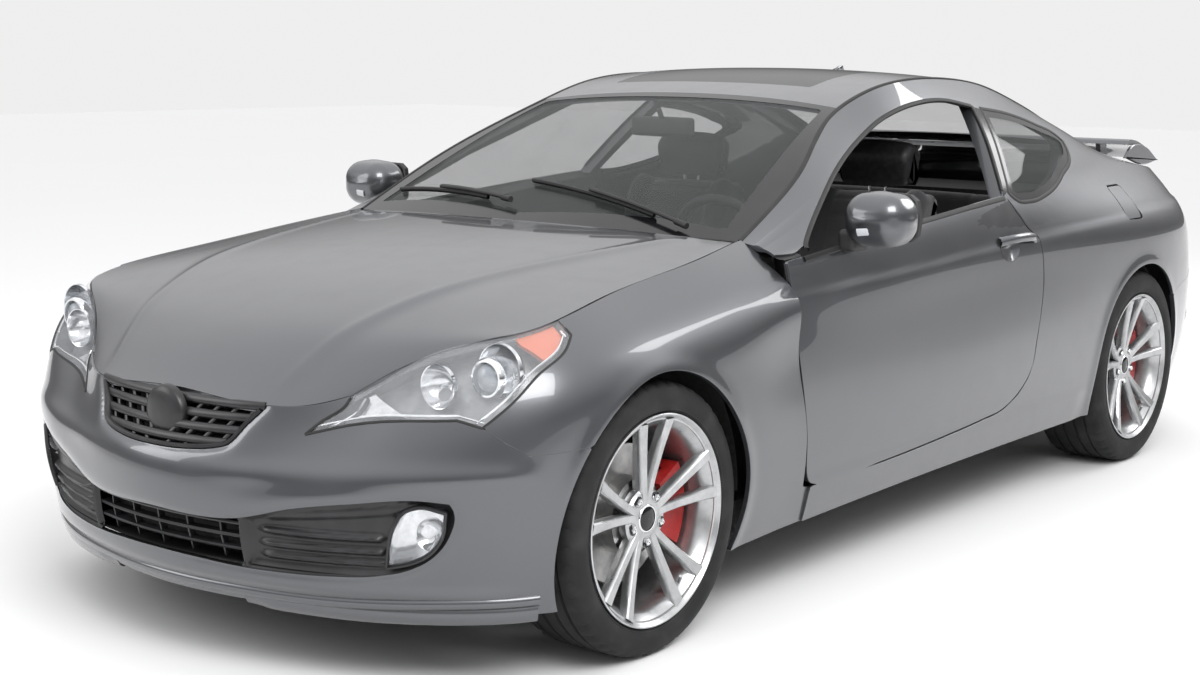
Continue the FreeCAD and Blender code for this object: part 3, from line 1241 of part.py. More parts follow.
# Exhaust
pipe = Part.makeCylinder(26, moved(2900), Vector(moved(1080), 0, 285), Vector(-1, 0, 0))
muffler = block(along(-2080), along(-1820), -380, 380, 258, 400)
tips = [Part.makeCylinder(42, 200, Vector(along(-2090), y, 300), Vector(-1, 0, 0)) for y in TAIL_PIPES]
links = [block(along(-2092), along(-2075), y - 42, y + 42, 258, 342) for y in TAIL_PIPES]
feature("exhaust", pipe.multiFuse([muffler] + tips + links))

# Every body on its own file
NODES = ["floor_pan", "side_frame_l", "side_frame_r", "roof_panel", "fixed_glass", "fender_l", "fender_r",
         "front_bumper", "rear_bumper", "upper_grille", "lower_grille", "headlamps", "fog_lamps", "tail_lamps",
         "cowl_panel", "wipers", "wheel_liners", "dashboard", "front_seats", "rear_seat", "engine_block",
         "front_subframe", "rear_subframe", "rear_calipers", "exhaust", "knuckle_l", "knuckle_r",
         "caliper_fl", "caliper_fr", "tyre_fl", "rim_fl", "disc_fl", "tyre_fr", "rim_fr", "disc_fr",
         "tyre_rl", "rim_rl", "disc_rl", "tyre_rr", "rim_rr", "disc_rr", "door_l", "mirror_l", "door_r",
         "mirror_r", "door_glass_r", "hood", "trunk_lid", "spoiler", "fuel_flap", "steering_wheel"]
doc.recompute()
os.makedirs("parts", exist_ok=True)
for item in doc.Objects:
    if "Invalid" in item.State or "Error" in item.State:
        raise RuntimeError("%s is not computed: %s" % (item.Label, item.State))
for name in NODES:
    shape = doc.getObjectsByLabel(name)[0].Shape
    if shape.isNull() or not shape.isValid() or not shape.Solids:
        raise RuntimeError("%s has no valid shape" % name)
    shape.exportStep("parts/%s.step" % name)
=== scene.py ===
import math
import bpy
import numpy as np
from mathutils import Matrix, Vector


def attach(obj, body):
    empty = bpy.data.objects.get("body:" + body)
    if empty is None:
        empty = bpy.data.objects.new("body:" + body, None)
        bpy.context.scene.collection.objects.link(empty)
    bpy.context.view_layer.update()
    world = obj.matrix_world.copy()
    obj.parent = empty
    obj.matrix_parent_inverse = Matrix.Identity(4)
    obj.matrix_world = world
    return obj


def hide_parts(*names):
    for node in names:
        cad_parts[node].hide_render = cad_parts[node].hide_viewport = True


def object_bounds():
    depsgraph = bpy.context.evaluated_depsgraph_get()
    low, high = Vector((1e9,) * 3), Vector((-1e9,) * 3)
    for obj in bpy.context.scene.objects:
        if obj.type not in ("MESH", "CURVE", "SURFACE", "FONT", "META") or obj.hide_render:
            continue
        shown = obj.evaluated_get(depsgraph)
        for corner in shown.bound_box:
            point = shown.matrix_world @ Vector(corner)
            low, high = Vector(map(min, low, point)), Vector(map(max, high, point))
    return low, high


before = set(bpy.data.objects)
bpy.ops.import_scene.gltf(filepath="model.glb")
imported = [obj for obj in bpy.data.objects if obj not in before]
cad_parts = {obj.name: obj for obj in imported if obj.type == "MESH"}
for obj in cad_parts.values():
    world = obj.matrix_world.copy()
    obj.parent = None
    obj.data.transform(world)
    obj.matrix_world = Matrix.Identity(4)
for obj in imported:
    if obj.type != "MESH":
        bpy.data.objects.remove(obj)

# Looks of a two-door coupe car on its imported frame. The tables and shapes are in
# millimetres, like the frame's own drawing; MM turns them into Blender's metres.
MM = 0.001
CAD_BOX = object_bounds()
NOSE = CAD_BOX[1].x / MM
ROOF = CAD_BOX[1].z / MM

# Camera at the photograph's place: focal length as a share of the picture's width
PICTURE_WIDTH = 1200.0
FOCAL_PIXELS = 1844.37
SENSOR = 36.0
CAMERA_PLACE = Vector((4.9393, 3.4308, 1.4318))
CAMERA_TURN, CAMERA_TILT, CAMERA_ROLL = -2.47134, -0.154898, 0.00925


def aim_camera():
    level = math.cos(CAMERA_TILT)
    forward = Vector((level * math.cos(CAMERA_TURN), level * math.sin(CAMERA_TURN), math.sin(CAMERA_TILT)))
    right = forward.cross(Vector((0, 0, 1))).normalized()
    above = right.cross(forward)
    rolled = right * math.cos(CAMERA_ROLL) + above * math.sin(CAMERA_ROLL)
    above = above * math.cos(CAMERA_ROLL) - right * math.sin(CAMERA_ROLL)
    lens = bpy.data.cameras.new("camera")
    lens.sensor_width = SENSOR
    lens.lens = FOCAL_PIXELS / PICTURE_WIDTH * SENSOR
    camera = bpy.data.objects.new("camera", lens)
    turn = Matrix((rolled, above, -forward)).transposed()
    camera.matrix_world = Matrix.Translation(CAMERA_PLACE) @ turn.to_4x4()
    bpy.context.scene.collection.objects.link(camera)
    bpy.context.scene.camera = camera


aim_camera()


# The body's shape: smooth surfaces through the drawing's tables

FRONT_AXLE, REAR_AXLE = 1525.0, -1295.0
DRAWN_X = (-2317.1, REAR_AXLE, FRONT_AXLE, 2319.2)
REAL_X = (-NOSE, REAR_AXLE, FRONT_AXLE, NOSE)
DRAWN_UP = (0.0, 900.0, 1379.4)
REAL_UP = (0.0, 900.0, ROOF)
FRONT_HUB, REAR_HUB = 331.3, 339.3
ARCH_GAP = 29.0
LEVELS = (0.0, 0.17, 0.42, 0.66, 0.86, 1.0)
MID_LEVEL = 2
FRONT_SECTIONS = [
    # x, y, heading, bottom, top, insets at the levels
    (2315, 0, 0, 170, 642, (68, 26, 0, 2, 46, 88)),
    (2283, 304, 14, 170, 630, (76, 33, 12, 22, 54, 74)),
    (2200, 560, 38, 172, 664, (72, 38, 10, 35, 92, 127)),
    (2075, 752, 57, 175, 760, (62, 34, 4, 22, 80, 156)),
    (1930, 884, 74, 180, 800, (50, 24, 3, 8, 50, 132)),
    (1525, 931, 90, 185, 862, (45, 18, 2, 6, 50, 166)),
    (1130, 924, 92, 190, 910, (40, 12, 0, 12, 52, 182)),
    (930, 914, 91, 195, 936, (35, 8, 0, 14, 44, 200)),
    (820, 912, 91, 196, 948, (35, 8, 0, 14, 46, 206)),
]
REAR_SECTIONS = [
    (930, 914, 91, 195, 892, (35, 8, 0, 14, 36, 56)),
    (300, 916, 90, 205, 943, (40, 10, 2, 16, 34, 62)),
    (-350, 922, 90, 212, 995, (42, 12, 0, 14, 38, 78)),
    (-850, 931, 90, 215, 1010, (45, 14, 2, 6, 40, 112)),
    (-1295, 936, 90, 215, 1022, (45, 16, 4, 2, 52, 166)),
    (-1740, 900, 104, 215, 1014, (45, 16, 2, 4, 60, 180)),
    (-2060, 770, 128, 215, 990, (60, 18, 0, 16, 72, 140)),
    (-2235, 500, 157, 215, 985, (60, 14, 0, 22, 60, 80)),
    (-2315, 0, 180, 215, 1000, (60, 14, 0, 30, 68, 78)),
]
TOP_SECTIONS = [
    # roof rail x, y, z, centre line x, z
    (916, 712, 934, 1040, 952),
    (567, 676, 1106, 640, 1145),
    (205, 572, 1268, 190, 1302),
    (31, 566, 1318, 20, 1344),
    (-193, 562, 1349, -200, 1376),
    (-450, 558, 1352, -450, 1376),
    (-700, 556, 1331, -700, 1358),
    (-900, 554, 1290, -930, 1312),
    (-1200, 556, 1204, -1240, 1218),
    (-1490, 560, 1100, -1550, 1094),
    (-1700, 575, 1046, -1750, 1056),
    (-1880, 585, 1015, -1950, 1036),
    (-2000, 560, 1003, -2090, 1024),
    (-2100, 500, 995, -2190, 1012),
]
HEADER, REAR_HEADER, LID_FRONT = 2, 7, 9
TOP_CROWN, HOOD_CROWN = 2.2, 2.6
HOOD_ROWS = [
    # x of the fender's edge, centre line x, z
    (2105, 2200, 654),
    (2016, 2130, 712),
    (1937, 2050, 766),
    (1858, 1950, 812),
    (1753, 1820, 856),
    (1525, 1560, 906),
    (1200, 1270, 938),
    (952, 1062, 953),
]
SIDE_LEVELS = LEVELS + (1.1, 1.25, 1.5, 1.7)
WINDOW_SHARES = ((0.15, 0.5), (0.36, 0.95), (0.72, 0.85))
WINDOW_BULGE = 0.035
SHOULDER = (-1490.0, -850.0)
SHOULDER_SHARES = (0.26, 0.52, 0.8)
SHOULDER_RISE = 0.8
RAIL = SIDE_LEVELS[-1]

LAMP = [(2181, 574), (2126, 601), (2088, 618), (2039, 628), (2013, 614), (1965, 661), (1901, 719),
        (1801, 771), (1763, 796), (1768, 860), (1950, 860), (2130, 730), (2103, 664), (2124, 633),
        (2153, 606)]
BEHIND_BUMPER = [(1770, 0), (1770, 562), (1836, 558), (1949, 553), (1986, 584), (2013, 614), (2039, 628),
                 (2088, 618), (2126, 601), (2181, 574), (2153, 606), (2124, 633), (2103, 664), (2130, 730),
                 (2130, 1200), (500, 1200), (500, 0)]
FENDER = [(852, 100), (852, 291), (881, 293), (884, 341), (917, 904), (917, 1000), (1768, 1000),
          (1763, 796), (1801, 771), (1901, 719), (1965, 661), (2013, 614), (1986, 584), (1949, 553),
          (1836, 558), (1770, 562), (1770, 100)]
B_PILLAR = [(-331, 990), (-372, 1004), (-541, 1253), (-495, 1262)]
DOOR = [(927, 897), (914, 817), (912, 684), (885, 437), (875, 341), (862, 308), (835, 299), (472, 300),
        (113, 313), (-139, 327), (-257, 338), (-351, 376), (-416, 430), (-456, 547), (-480, 618),
        (-503, 718), (-500, 799), (-485, 858), (-428, 890), (-380, 943), (-350, 988), (-345, 1040),
        (845, 1000), (845, 896)]
DOOR_WINDOW = [(845, 888), (672, 986), (471, 1089), (227, 1184), (38, 1246), (-141, 1278), (-350, 1285),
               (-493, 1264), (-327, 984)]
QUARTER_WINDOW = [(-545, 1256), (-739, 1234), (-935, 1193), (-1055, 1152), (-1072, 1135), (-1056, 1115),
                  (-843, 1032), (-656, 985), (-497, 968), (-420, 975), (-378, 1000)]
DOOR_OPENING = [(1000, 100), (851, 100), (851, 291), (472, 292), (113, 305), (-139, 319), (-260, 330),
                (-356, 369), (-423, 425), (-463, 544), (-487, 617), (-511, 717), (-508, 800), (-492, 861),
                (-434, 896), (-387, 948), (-357, 988), (790, 925), (848, 912), (1000, 912)]
REAR_BUMPER = [(-1560, 100), (-1560, 560), (-1640, 585), (-1900, 625), (-2010, 665), (-2070, 760),
               (-2090, 1100), (-2400, 1100), (-2400, 100)]
FUEL_DOOR = [(-1168, 878), (-1168, 968), (-1176, 976), (-1276, 976), (-1284, 968), (-1284, 878),
             (-1276, 870), (-1176, 870)]
SUNROOF = [(60, -380), (60, 380), (-370, 380), (-370, -380)]
UPPER_GRILLE = [(-300, 700), (-302, 626), (-263, 585), (-225, 538), (-190, 528), (-126, 520), (0, 516),
                (126, 520), (190, 528), (225, 538), (263, 585), (302, 626), (300, 700)]
LOWER_GRILLE = [(-752, 430), (-745, 447), (-696, 453), (-542, 438), (-410, 415), (-270, 377), (0, 372),
                (270, 377), (410, 415), (542, 438), (696, 453), (745, 447), (752, 430), (739, 368),
                (696, 312), (648, 284), (586, 268), (480, 259), (342, 255), (0, 262),
                (-342, 255), (-480, 259), (-586, 268), (-648, 284), (-696, 312), (-739, 368)]
FOG = [(738, 425), (688, 438), (662, 428), (640, 392), (622, 330), (612, 290), (655, 300), (690, 318),
       (728, 368)]


def real(points, kind="side"):
    """Places of the drawing, seen from the side, the front or above, in the real car."""
    places = np.array(points, float)
    if kind != "front":
        places[:, 0] = placed(places[:, 0], DRAWN_X, REAL_X)
    if kind == "side":
        places[:, 1] = placed(places[:, 1], DRAWN_UP, REAL_UP)
    return places


def placed(values, marks, places):
    values = np.asarray(values, float)
    inner = np.interp(values, marks, places)
    return inner + np.minimum(values - marks[0], 0) + np.maximum(values - marks[-1], 0)


def at(x, y, z):
    return np.array([placed(x, DRAWN_X, REAL_X), y, placed(z, DRAWN_UP, REAL_UP)], float)


def basis(knots, values):
    """Weights of the knots' points on the natural spline through them, a row for each value."""
    knots = np.asarray(knots, float)
    values = np.atleast_1d(np.asarray(values, float))
    count = len(knots)
    gap = np.diff(knots)
    left = np.eye(count)
    right = np.zeros((count, count))
    for k in range(1, count - 1):
        left[k, k - 1:k + 2] = gap[k - 1], 2 * (gap[k - 1] + gap[k]), gap[k]
        right[k, k - 1:k + 2] = 6 / gap[k - 1], -6 / gap[k - 1] - 6 / gap[k], 6 / gap[k]
    bend = np.linalg.solve(left, right)
    k = np.clip(np.searchsorted(knots, values, side="right") - 1, 0, count - 2)
    width = gap[k]
    far = (values - knots[k]) / width
    near = 1 - far
    result = (near ** 3 - near)[:, None] * bend[k] * (width ** 2 / 6)[:, None]
    result += (far ** 3 - far)[:, None] * bend[k + 1] * (width ** 2 / 6)[:, None]
    result[np.arange(len(values)), k] += near
    result[np.arange(len(values)), k + 1] += far
    return result


class Surface:
    """A smooth surface through rows of points. s runs from row to row and t along a row."""

    def __init__(self, rows, columns, middle):
        self.rows = np.array(rows)
        steps = np.linalg.norm(np.diff(self.rows[:, middle], axis=0), axis=1)
        self.s = np.concatenate([[0], np.cumsum(steps)])
        self.t = np.array(columns, float)

    def points(self, s, t):
        return np.einsum("ni,nj,ijk->nk", basis(self.s, s), basis(self.t, t), self.rows)

    def point(self, s, t):
        return self.points([s], [t])[0]

    def grid(self, s, t):
        return np.einsum("si,tj,ijk->stk", basis(self.s, s), basis(self.t, t), self.rows)

    def at_x(self, x, t, low, high):
        rising = self.point(high, t)[0] > self.point(low, t)[0]
        for _ in range(30):
            middle = (low + high) / 2
            if (self.point(middle, t)[0] < x) == rising:
                low = middle
            else:
                high = middle
        return (low + high) / 2

    def locate(self, targets, axes, s_range, t_range):
        """Where the surface shows at places seen along the axis that axes lack."""
        s_values = np.linspace(*s_range, 200)
        t_values = np.linspace(*t_range, 60)
        seen = self.grid(s_values, t_values)[..., axes].reshape(-1, 2)
        nearest = np.array([np.argmin(((seen - target) ** 2).sum(1)) for target in targets])
        s = s_values[nearest // len(t_values)]
        t = t_values[nearest % len(t_values)]
        for _ in range(5):
            here = self.points(s, t)[:, axes]
            along_s = (self.points(s + 1, t)[:, axes] - here)
            along_t = (self.points(s, t + 0.001)[:, axes] - here) / 0.001
            missing = targets - here
            scale = along_s[:, 0] * along_t[:, 1] - along_s[:, 1] * along_t[:, 0]
            s = s + (missing[:, 0] * along_t[:, 1] - missing[:, 1] * along_t[:, 0]) / scale
            t = t + (along_s[:, 0] * missing[:, 1] - along_s[:, 1] * missing[:, 0]) / scale
        return s, t

    def outward(self, s, t):
        along_s = self.points(s + 2, t) - self.points(s - 2, t)
        along_t = self.points(s, t + 0.004) - self.points(s, t - 0.004)
        return facing_out(np.cross(along_s, along_t), self.points(s, t))


def unit(vectors):
    return vectors / np.maximum(np.linalg.norm(vectors, axis=-1, keepdims=True), 1e-9)


CAR_CENTRE = np.array([0, 0, 600.0])


def facing_out(normals, points):
    normals = unit(normals)
    flip = np.einsum("...k,...k->...", normals, points - CAR_CENTRE) < 0
    return np.where(flip[..., None], -normals, normals)


def section_row(section):
    x, y, heading, bottom, top, insets = section
    turn = math.radians(heading)
    return [at(x - inset * math.cos(turn), y - inset * math.sin(turn), bottom + (top - bottom) * level)
            for level, inset in zip(LEVELS, insets)]


def mirrored_rows(rows):
    return [[point * (1, -1, 1) for point in row] for row in rows]


left_front = [section_row(section) for section in FRONT_SECTIONS]
front_body = Surface(mirrored_rows(left_front[:0:-1]) + left_front, LEVELS, MID_LEVEL)
front_middle = front_body.s[len(left_front) - 1]
front_end = front_body.s[-1]
left_rear = [section_row(section) for section in REAR_SECTIONS]
rear_body = Surface(left_rear + mirrored_rows(left_rear[-2::-1]), LEVELS, MID_LEVEL)
rear_middle = rear_body.s[len(left_rear) - 1]


def turning(first, first_run, last, last_run, share):
    near = share ** 2 * (3 - 2 * share)
    return first * (1 - near) + last * near + first_run * (share * (1 - share) ** 2) \
        + last_run * (share ** 2 * (share - 1))


def side_row(section):
    rail = at(*section[:3])
    s = 0.0
    if rail[0] < rear_body.point(0, 1)[0]:
        s = rear_body.at_x(rail[0], 1.0, 0.0, rear_middle)
    lower = [rear_body.point(s, level) for level in LEVELS]
    belt = lower[-1]
    reach = rail - belt
    length = math.hypot(reach[1], reach[2])
    outward = np.array([0, reach[2], -reach[1]]) / length
    rise = unit(belt - lower[-2]) * SHOULDER_RISE * length
    shoulder = 1 - np.clip((section[0] - SHOULDER[0]) / (SHOULDER[1] - SHOULDER[0]), 0, 1)
    upper = []
    for (share, bulge), turned_share in zip(WINDOW_SHARES, SHOULDER_SHARES):
        window = belt + reach * share + outward * (WINDOW_BULGE * bulge * length)
        round_point = turning(belt, rise, rail, np.array([0, -length, 0]), turned_share)
        upper.append(window * (1 - shoulder) + round_point * shoulder)
    return lower + upper + [rail]


side = Surface([side_row(section) for section in TOP_SECTIONS], SIDE_LEVELS, MID_LEVEL)


def crowned_row(edge, centre, shares, crown):
    return [np.array([edge[0] + (centre[0] - edge[0]) * (1 - share ** 2), share * edge[1],
                      edge[2] + (centre[2] - edge[2]) * (1 - abs(share) ** crown)]) for share in shares]


SHARES = np.linspace(1, -1, 9)
MIDDLE_SHARE = 4
top = Surface([crowned_row(at(x, y, z), at(middle_x, 0, middle_z), SHARES, TOP_CROWN)
               for x, y, z, middle_x, middle_z in TOP_SECTIONS], -SHARES, MIDDLE_SHARE)
SHUT_GAP = 8.0
DOOR_GAP = 5.6
hood_lengths = [front_body.at_x(at(x, 0, 0)[0], 1.0, front_middle + 1, front_end) for x, _, _ in HOOD_ROWS]
hood_reach = hood_lengths[0] - front_middle


def hood_edge(s):
    """A point of the hood's edge, a shut gap inside the fender's."""
    step = front_end * 1e-4
    run = front_body.point(s + step, 1.0) - front_body.point(s - step, 1.0)
    inside = unit(np.array([-run[1], run[0], 0]))
    edge = front_body.point(s, 1.0)
    return edge + inside * math.copysign(SHUT_GAP, inside @ (at(1300, 0, 0) - edge))


hood_rows = [[hood_edge(front_middle + share * hood_reach) for share in SHARES]]
for hood_s, (_, centre_x, centre_z) in list(zip(hood_lengths, HOOD_ROWS))[1:]:
    hood_rows.append(crowned_row(hood_edge(hood_s), at(centre_x, 0, centre_z), SHARES, HOOD_CROWN))
hood_surface = Surface(hood_rows, -SHARES, MIDDLE_SHARE)

TAIL_T = (0.745, 0.93)
tail_start = rear_body.at_x(at(-2040, 0, 0)[0], 0.84, 0.0, rear_middle)
tail_end = rear_body.s[7]
LID_LEVELS = (1.0, 0.95, 0.87, 0.8, 0.745)
LID_FRONT_GAP = 13.0
lid_share = 1 - SHUT_GAP / 560
lid_half = (rear_middle - tail_end) * 0.975
lid_rows = [[top.point(s, -share * lid_share) for share in SHARES]
            for s in np.linspace(top.s[LID_FRONT] + LID_FRONT_GAP, top.s[-1], 5)]
for level in LID_LEVELS:
    lid_rows.append([rear_body.point(rear_middle - share * lid_half, level) for share in SHARES])
lid_surface = Surface(lid_rows, -SHARES, MIDDLE_SHARE)


# Outlines and distances, in millimetres


def smooth(outline, step=14.0, sharp=38.0):
    """The outline with its gentle turns rounded and its sharp corners kept."""
    points = np.asarray(outline, float)
    before = points - np.roll(points, 1, 0)
    after = np.roll(points, -1, 0) - points
    bend = np.degrees(np.arccos(np.clip((unit(before) * unit(after)).sum(1), -1, 1)))
    before_length = np.linalg.norm(before, axis=1, keepdims=True)
    after_length = np.linalg.norm(after, axis=1, keepdims=True)
    middle_way = unit(unit(before) * after_length + unit(after) * before_length)
    result = []
    for k in range(len(points)):
        far = (k + 1) % len(points)
        chord = after[k]
        length = after_length[k]
        leave = chord if bend[k] > sharp else middle_way[k] * length
        meet = chord if bend[far] > sharp else middle_way[far] * length
        for share in np.arange(0, 1, min(1.0, step / length[0])):
            result.append(turning(points[k], leave, points[far], meet, share))
    return np.array(result)


def depth_inside(places, outline):
    """How far each place lies inside an outline, negative outside."""
    nearest = np.full(len(places), 1e9)
    within = np.zeros(len(places), bool)
    for start, end in zip(outline, np.roll(outline, -1, 0)):
        run = end - start
        share = np.clip(((places - start) @ run) / max(run @ run, 1e-9), 0, 1)
        nearest = np.minimum(nearest, np.linalg.norm(places - start - share[:, None] * run, axis=1))
        crosses = (places[:, 1] < start[1]) != (places[:, 1] < end[1])
        if abs(run[1]) > 1e-9:
            within ^= crosses & (places[:, 0] < start[0] + (places[:, 1] - start[1]) * run[0] / run[1])
    return np.where(within, nearest, -nearest)


SEEN = {"side": [0, 2], "front": [1, 2], "top": [0, 1]}
OUTLINES = {
    "lamp": (smooth(real(LAMP)), "side"),
    "behind_bumper": (smooth(real(BEHIND_BUMPER)), "side"),
    "fender": (smooth(real(FENDER)), "side"),
    "door": (smooth(real(DOOR)), "side"),
    "door_window": (smooth(real(DOOR_WINDOW)), "side"),
    "b_pillar": (real(B_PILLAR), "side"),
    "quarter_window": (smooth(real(QUARTER_WINDOW), sharp=60.0), "side"),
    "door_opening": (smooth(real(DOOR_OPENING)), "side"),
    "rear_bumper": (smooth(real(REAR_BUMPER)), "side"),
    "fuel_door": (smooth(real(FUEL_DOOR)), "side"),
    "sunroof": (real(SUNROOF, "top"), "top"),
    "upper_grille": (smooth(real(UPPER_GRILLE, "front")), "front"),
    "lower_grille": (smooth(real(LOWER_GRILLE, "front"), sharp=60.0), "front"),
    "fog": (smooth(real(FOG, "front"), sharp=60.0), "front"),
}


def inside(points, name):
    outline, kind = OUTLINES[name]
    return depth_inside(points[:, SEEN[kind]], outline)


def round_hub(points, axle, hub):
    return np.hypot(points[:, 0] - axle, points[:, 2] - hub)


def soft_step(values, low, high):
    share = np.clip((values - low) / (high - low), 0, 1)
    return share * share * (3 - 2 * share)


# Meshes


class Shape:
    """Points in millimetres with a normal each, and faces with the slot of their finish."""

    def __init__(self, points=(), normals=(), faces=(), slots=None):
        self.points = np.array(points, float).reshape(-1, 3)
        self.normals = np.array(normals, float).reshape(-1, 3)
        self.faces = [tuple(int(k) for k in face) for face in faces]
        self.slots = list(slots) if slots is not None else [0] * len(self.faces)

    def add(self, other):
        base = len(self.points)
        with_normals = len(self.normals) == base and len(other.normals) == len(other.points)
        self.points = np.concatenate([self.points, other.points])
        self.normals = np.concatenate([self.normals, other.normals]) if with_normals else np.zeros((0, 3))
        self.faces += [tuple(k + base for k in face) for face in other.faces]
        self.slots += other.slots
        return self

    def mirrored(self):
        flip = (1, -1, 1)
        return Shape(self.points * flip, self.normals * flip, [face[::-1] for face in self.faces], self.slots)

    def moved(self, turn, place):
        """The shape turned by a 3 x 3 matrix, then moved."""
        turn = np.array(turn, float)
        return Shape(self.points @ turn.T + place, self.normals @ turn.T, self.faces, self.slots)


def piece(name, shape, body, looks, replaces=(), sharp=35.0):
    """A Blender object of a shape, which rides on a body."""
    mesh = bpy.data.meshes.new(name)
    mesh.from_pydata((shape.points * MM).tolist(), [], shape.faces)
    looks = looks if isinstance(looks, (list, tuple)) else [looks]
    for look in looks:
        mesh.materials.append(look)
    mesh.polygons.foreach_set("material_index", shape.slots)
    mesh.polygons.foreach_set("use_smooth", [True] * len(shape.faces))
    mesh.update()
    if len(shape.normals) == len(shape.points):
        mesh.normals_split_custom_set_from_vertices(shape.normals.tolist())
    else:
        mesh.set_sharp_from_angle(angle=math.radians(sharp))
    item = bpy.data.objects.new(name, mesh)
    bpy.context.scene.collection.objects.link(item)
    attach(item, body)
    if replaces:
        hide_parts(*replaces)
    return item


def pair(name, shape, bodies, looks, replaces=(), sharp=35.0):
    """The piece on the car's left and its mirror image on the right."""
    bodies = (bodies, bodies) if isinstance(bodies, str) else bodies
    for k, (end, form) in enumerate((("l", shape), ("r", shape.mirrored()))):
        piece(name + "_" + end, form, bodies[k], looks, replaces[k:k + 1], sharp)


def trimmed(points, normals, keep):
    """The part of a grid where keep is positive, cut along its zero line."""
    rows, columns = keep.shape
    index = np.arange(rows * columns).reshape(rows, columns)
    corners = np.stack([index[:-1, :-1], index[1:, :-1], index[1:, 1:], index[:-1, 1:]], -1).reshape(-1, 4)
    value = keep.ravel() + 1e-7
    points = points.reshape(-1, 3)
    normals = normals.reshape(-1, 3)
    within = value[corners] > 0
    faces = [tuple(face) for face in corners[within.all(1)]]
    seen = {}
    extra = []
    for face in corners[within.any(1) & ~within.all(1)]:
        ring = []
        for a, b in zip(face, np.roll(face, -1)):
            if value[a] > 0:
                ring.append(a)
            if (value[a] > 0) != (value[b] > 0):
                key = (min(a, b), max(a, b))
                if key not in seen:
                    seen[key] = len(value) + len(extra)
                    extra.append((a, b, value[a] / (value[a] - value[b])))
                ring.append(seen[key])
        if len(ring) > 2:
            faces.append(tuple(ring))
    if extra:
        first, second, share = (np.array(column) for column in zip(*extra))
        first, second, share = first.astype(int), second.astype(int), share[:, None]
        points = np.concatenate([points, points[first] * (1 - share) + points[second] * share])
        normals = np.concatenate([normals, unit(normals[first] * (1 - share) + normals[second] * share)])
    used = np.unique(np.concatenate([np.array(face) for face in faces]))
    renamed = np.full(len(points), -1)
    renamed[used] = np.arange(len(used))
    return Shape(points[used], normals[used], [renamed[list(face)] for face in faces])


def outward_winding(shape):
    """Turns the faces so that they wind round their normals."""
    face = np.array([face[:3] for face in shape.faces])
    cross = np.cross(shape.points[face[:, 1]] - shape.points[face[:, 0]],
                     shape.points[face[:, 2]] - shape.points[face[:, 0]])
    if (cross * shape.normals[face[:, 0]]).sum() < 0:
        shape.faces = [each[::-1] for each in shape.faces]
    return shape


def open_edges(shape):
    edges = set()
    for face in shape.faces:
        edges.update(zip(face, face[1:] + face[:1]))
    return [edge for edge in edges if edge[::-1] not in edges]


def folded(shape, depth, spread=1.6, back=True):
    """Folds the sheet's edges over a small radius down to a depth, and closes it with an inside sheet."""
    edges = open_edges(shape)
    count = len(shape.points)
    outs = np.zeros((count, 3))
    for a, b in edges:
        way = np.cross(unit(shape.points[b] - shape.points[a]), shape.normals[a])
        outs[a] += way
        outs[b] += way
    rim = np.unique([k for edge in edges for k in edge])
    out = unit(outs[rim])
    up = shape.normals[rim]
    place = {k: n for n, k in enumerate(rim)}
    points, normals, faces, slots = [shape.points], [shape.normals], list(shape.faces), list(shape.slots)
    previous = {k: k for k in rim}
    base = count
    steps = ((0.55 * spread, 0.15 * spread, 0.6), (spread, spread, 1.0), (spread, depth, 1.0))
    for reach, down, tilt in steps:
        points.append(shape.points[rim] + out * reach - up * down)
        normals.append(unit(out * tilt + up * (1 - tilt)))
        ring = {k: base + place[k] for k in rim}
        faces += [(previous[b], previous[a], ring[a], ring[b]) for a, b in edges]
        slots += [0] * len(edges)
        previous = ring
        base += len(rim)
    if back:
        inner = np.setdiff1d(np.arange(count), rim)
        points.append(shape.points[inner] - shape.normals[inner] * depth)
        normals.append(-shape.normals[inner])
        below = dict(previous)
        below.update({k: base + n for n, k in enumerate(inner)})
        faces += [tuple(below[k] for k in face[::-1]) for face in shape.faces]
        slots += [1] * len(shape.faces)
    return Shape(np.concatenate(points), np.concatenate(normals), faces, slots)


def sheet(surface, s_range, t_range, keep=None, raised=None, lift=0.0, spacing=12.0):
    """A sheet of a surface, raised by a function of its points and kept where keep is positive."""
    middle = surface.grid(np.linspace(*s_range, 9), np.linspace(*t_range, 9))
    s_length = np.linalg.norm(np.diff(middle, axis=0), axis=2).sum(0).max()
    t_length = np.linalg.norm(np.diff(middle, axis=1), axis=2).sum(1).max()
    s_values = np.linspace(*s_range, max(4, int(s_length / spacing)) + 1)
    t_values = np.linspace(*t_range, max(4, int(t_length / spacing)) + 1)
    points = surface.grid(s_values, t_values)
    normals = grid_normals(points)
    base = points
    if raised is not None or lift:
        height = np.full(points.shape[:2], float(lift))
        if raised is not None:
            height += raised(points.reshape(-1, 3)).reshape(points.shape[:2])
        points = points + normals * height[..., None]
        normals = grid_normals(points)
    value = np.ones(points.shape[:2])
    if keep is not None:
        value = keep(base.reshape(-1, 3)).reshape(points.shape[:2])
    return outward_winding(trimmed(points, normals, value))


def grid_normals(points):
    return facing_out(np.cross(np.gradient(points, axis=0), np.gradient(points, axis=1)), points)


def on_outline(surface, name, s_range, t_range, grow=0.0, below=None):
    """Points and normals of a surface along an outline, or along its one run below a t."""
    outline, kind = OUTLINES[name]
    if grow:
        run = unit(np.roll(outline, -1, 0) - np.roll(outline, 1, 0))
        out = np.stack([run[:, 1], -run[:, 0]], 1)
        if depth_inside(outline + out, outline).mean() > 0:
            out = -out
        outline = outline + out * grow
    s, t = surface.locate(outline, SEEN[kind], s_range, t_range)
    if below is not None:
        start = int(np.argmax((t < below) & (np.roll(t, 1) >= below)))
        s, t = np.roll(s, -start), np.roll(t, -start)
        count = int(np.argmax(t >= below))
        s, t = s[:count], t[:count]
    return surface.points(s, t), surface.outward(s, t)


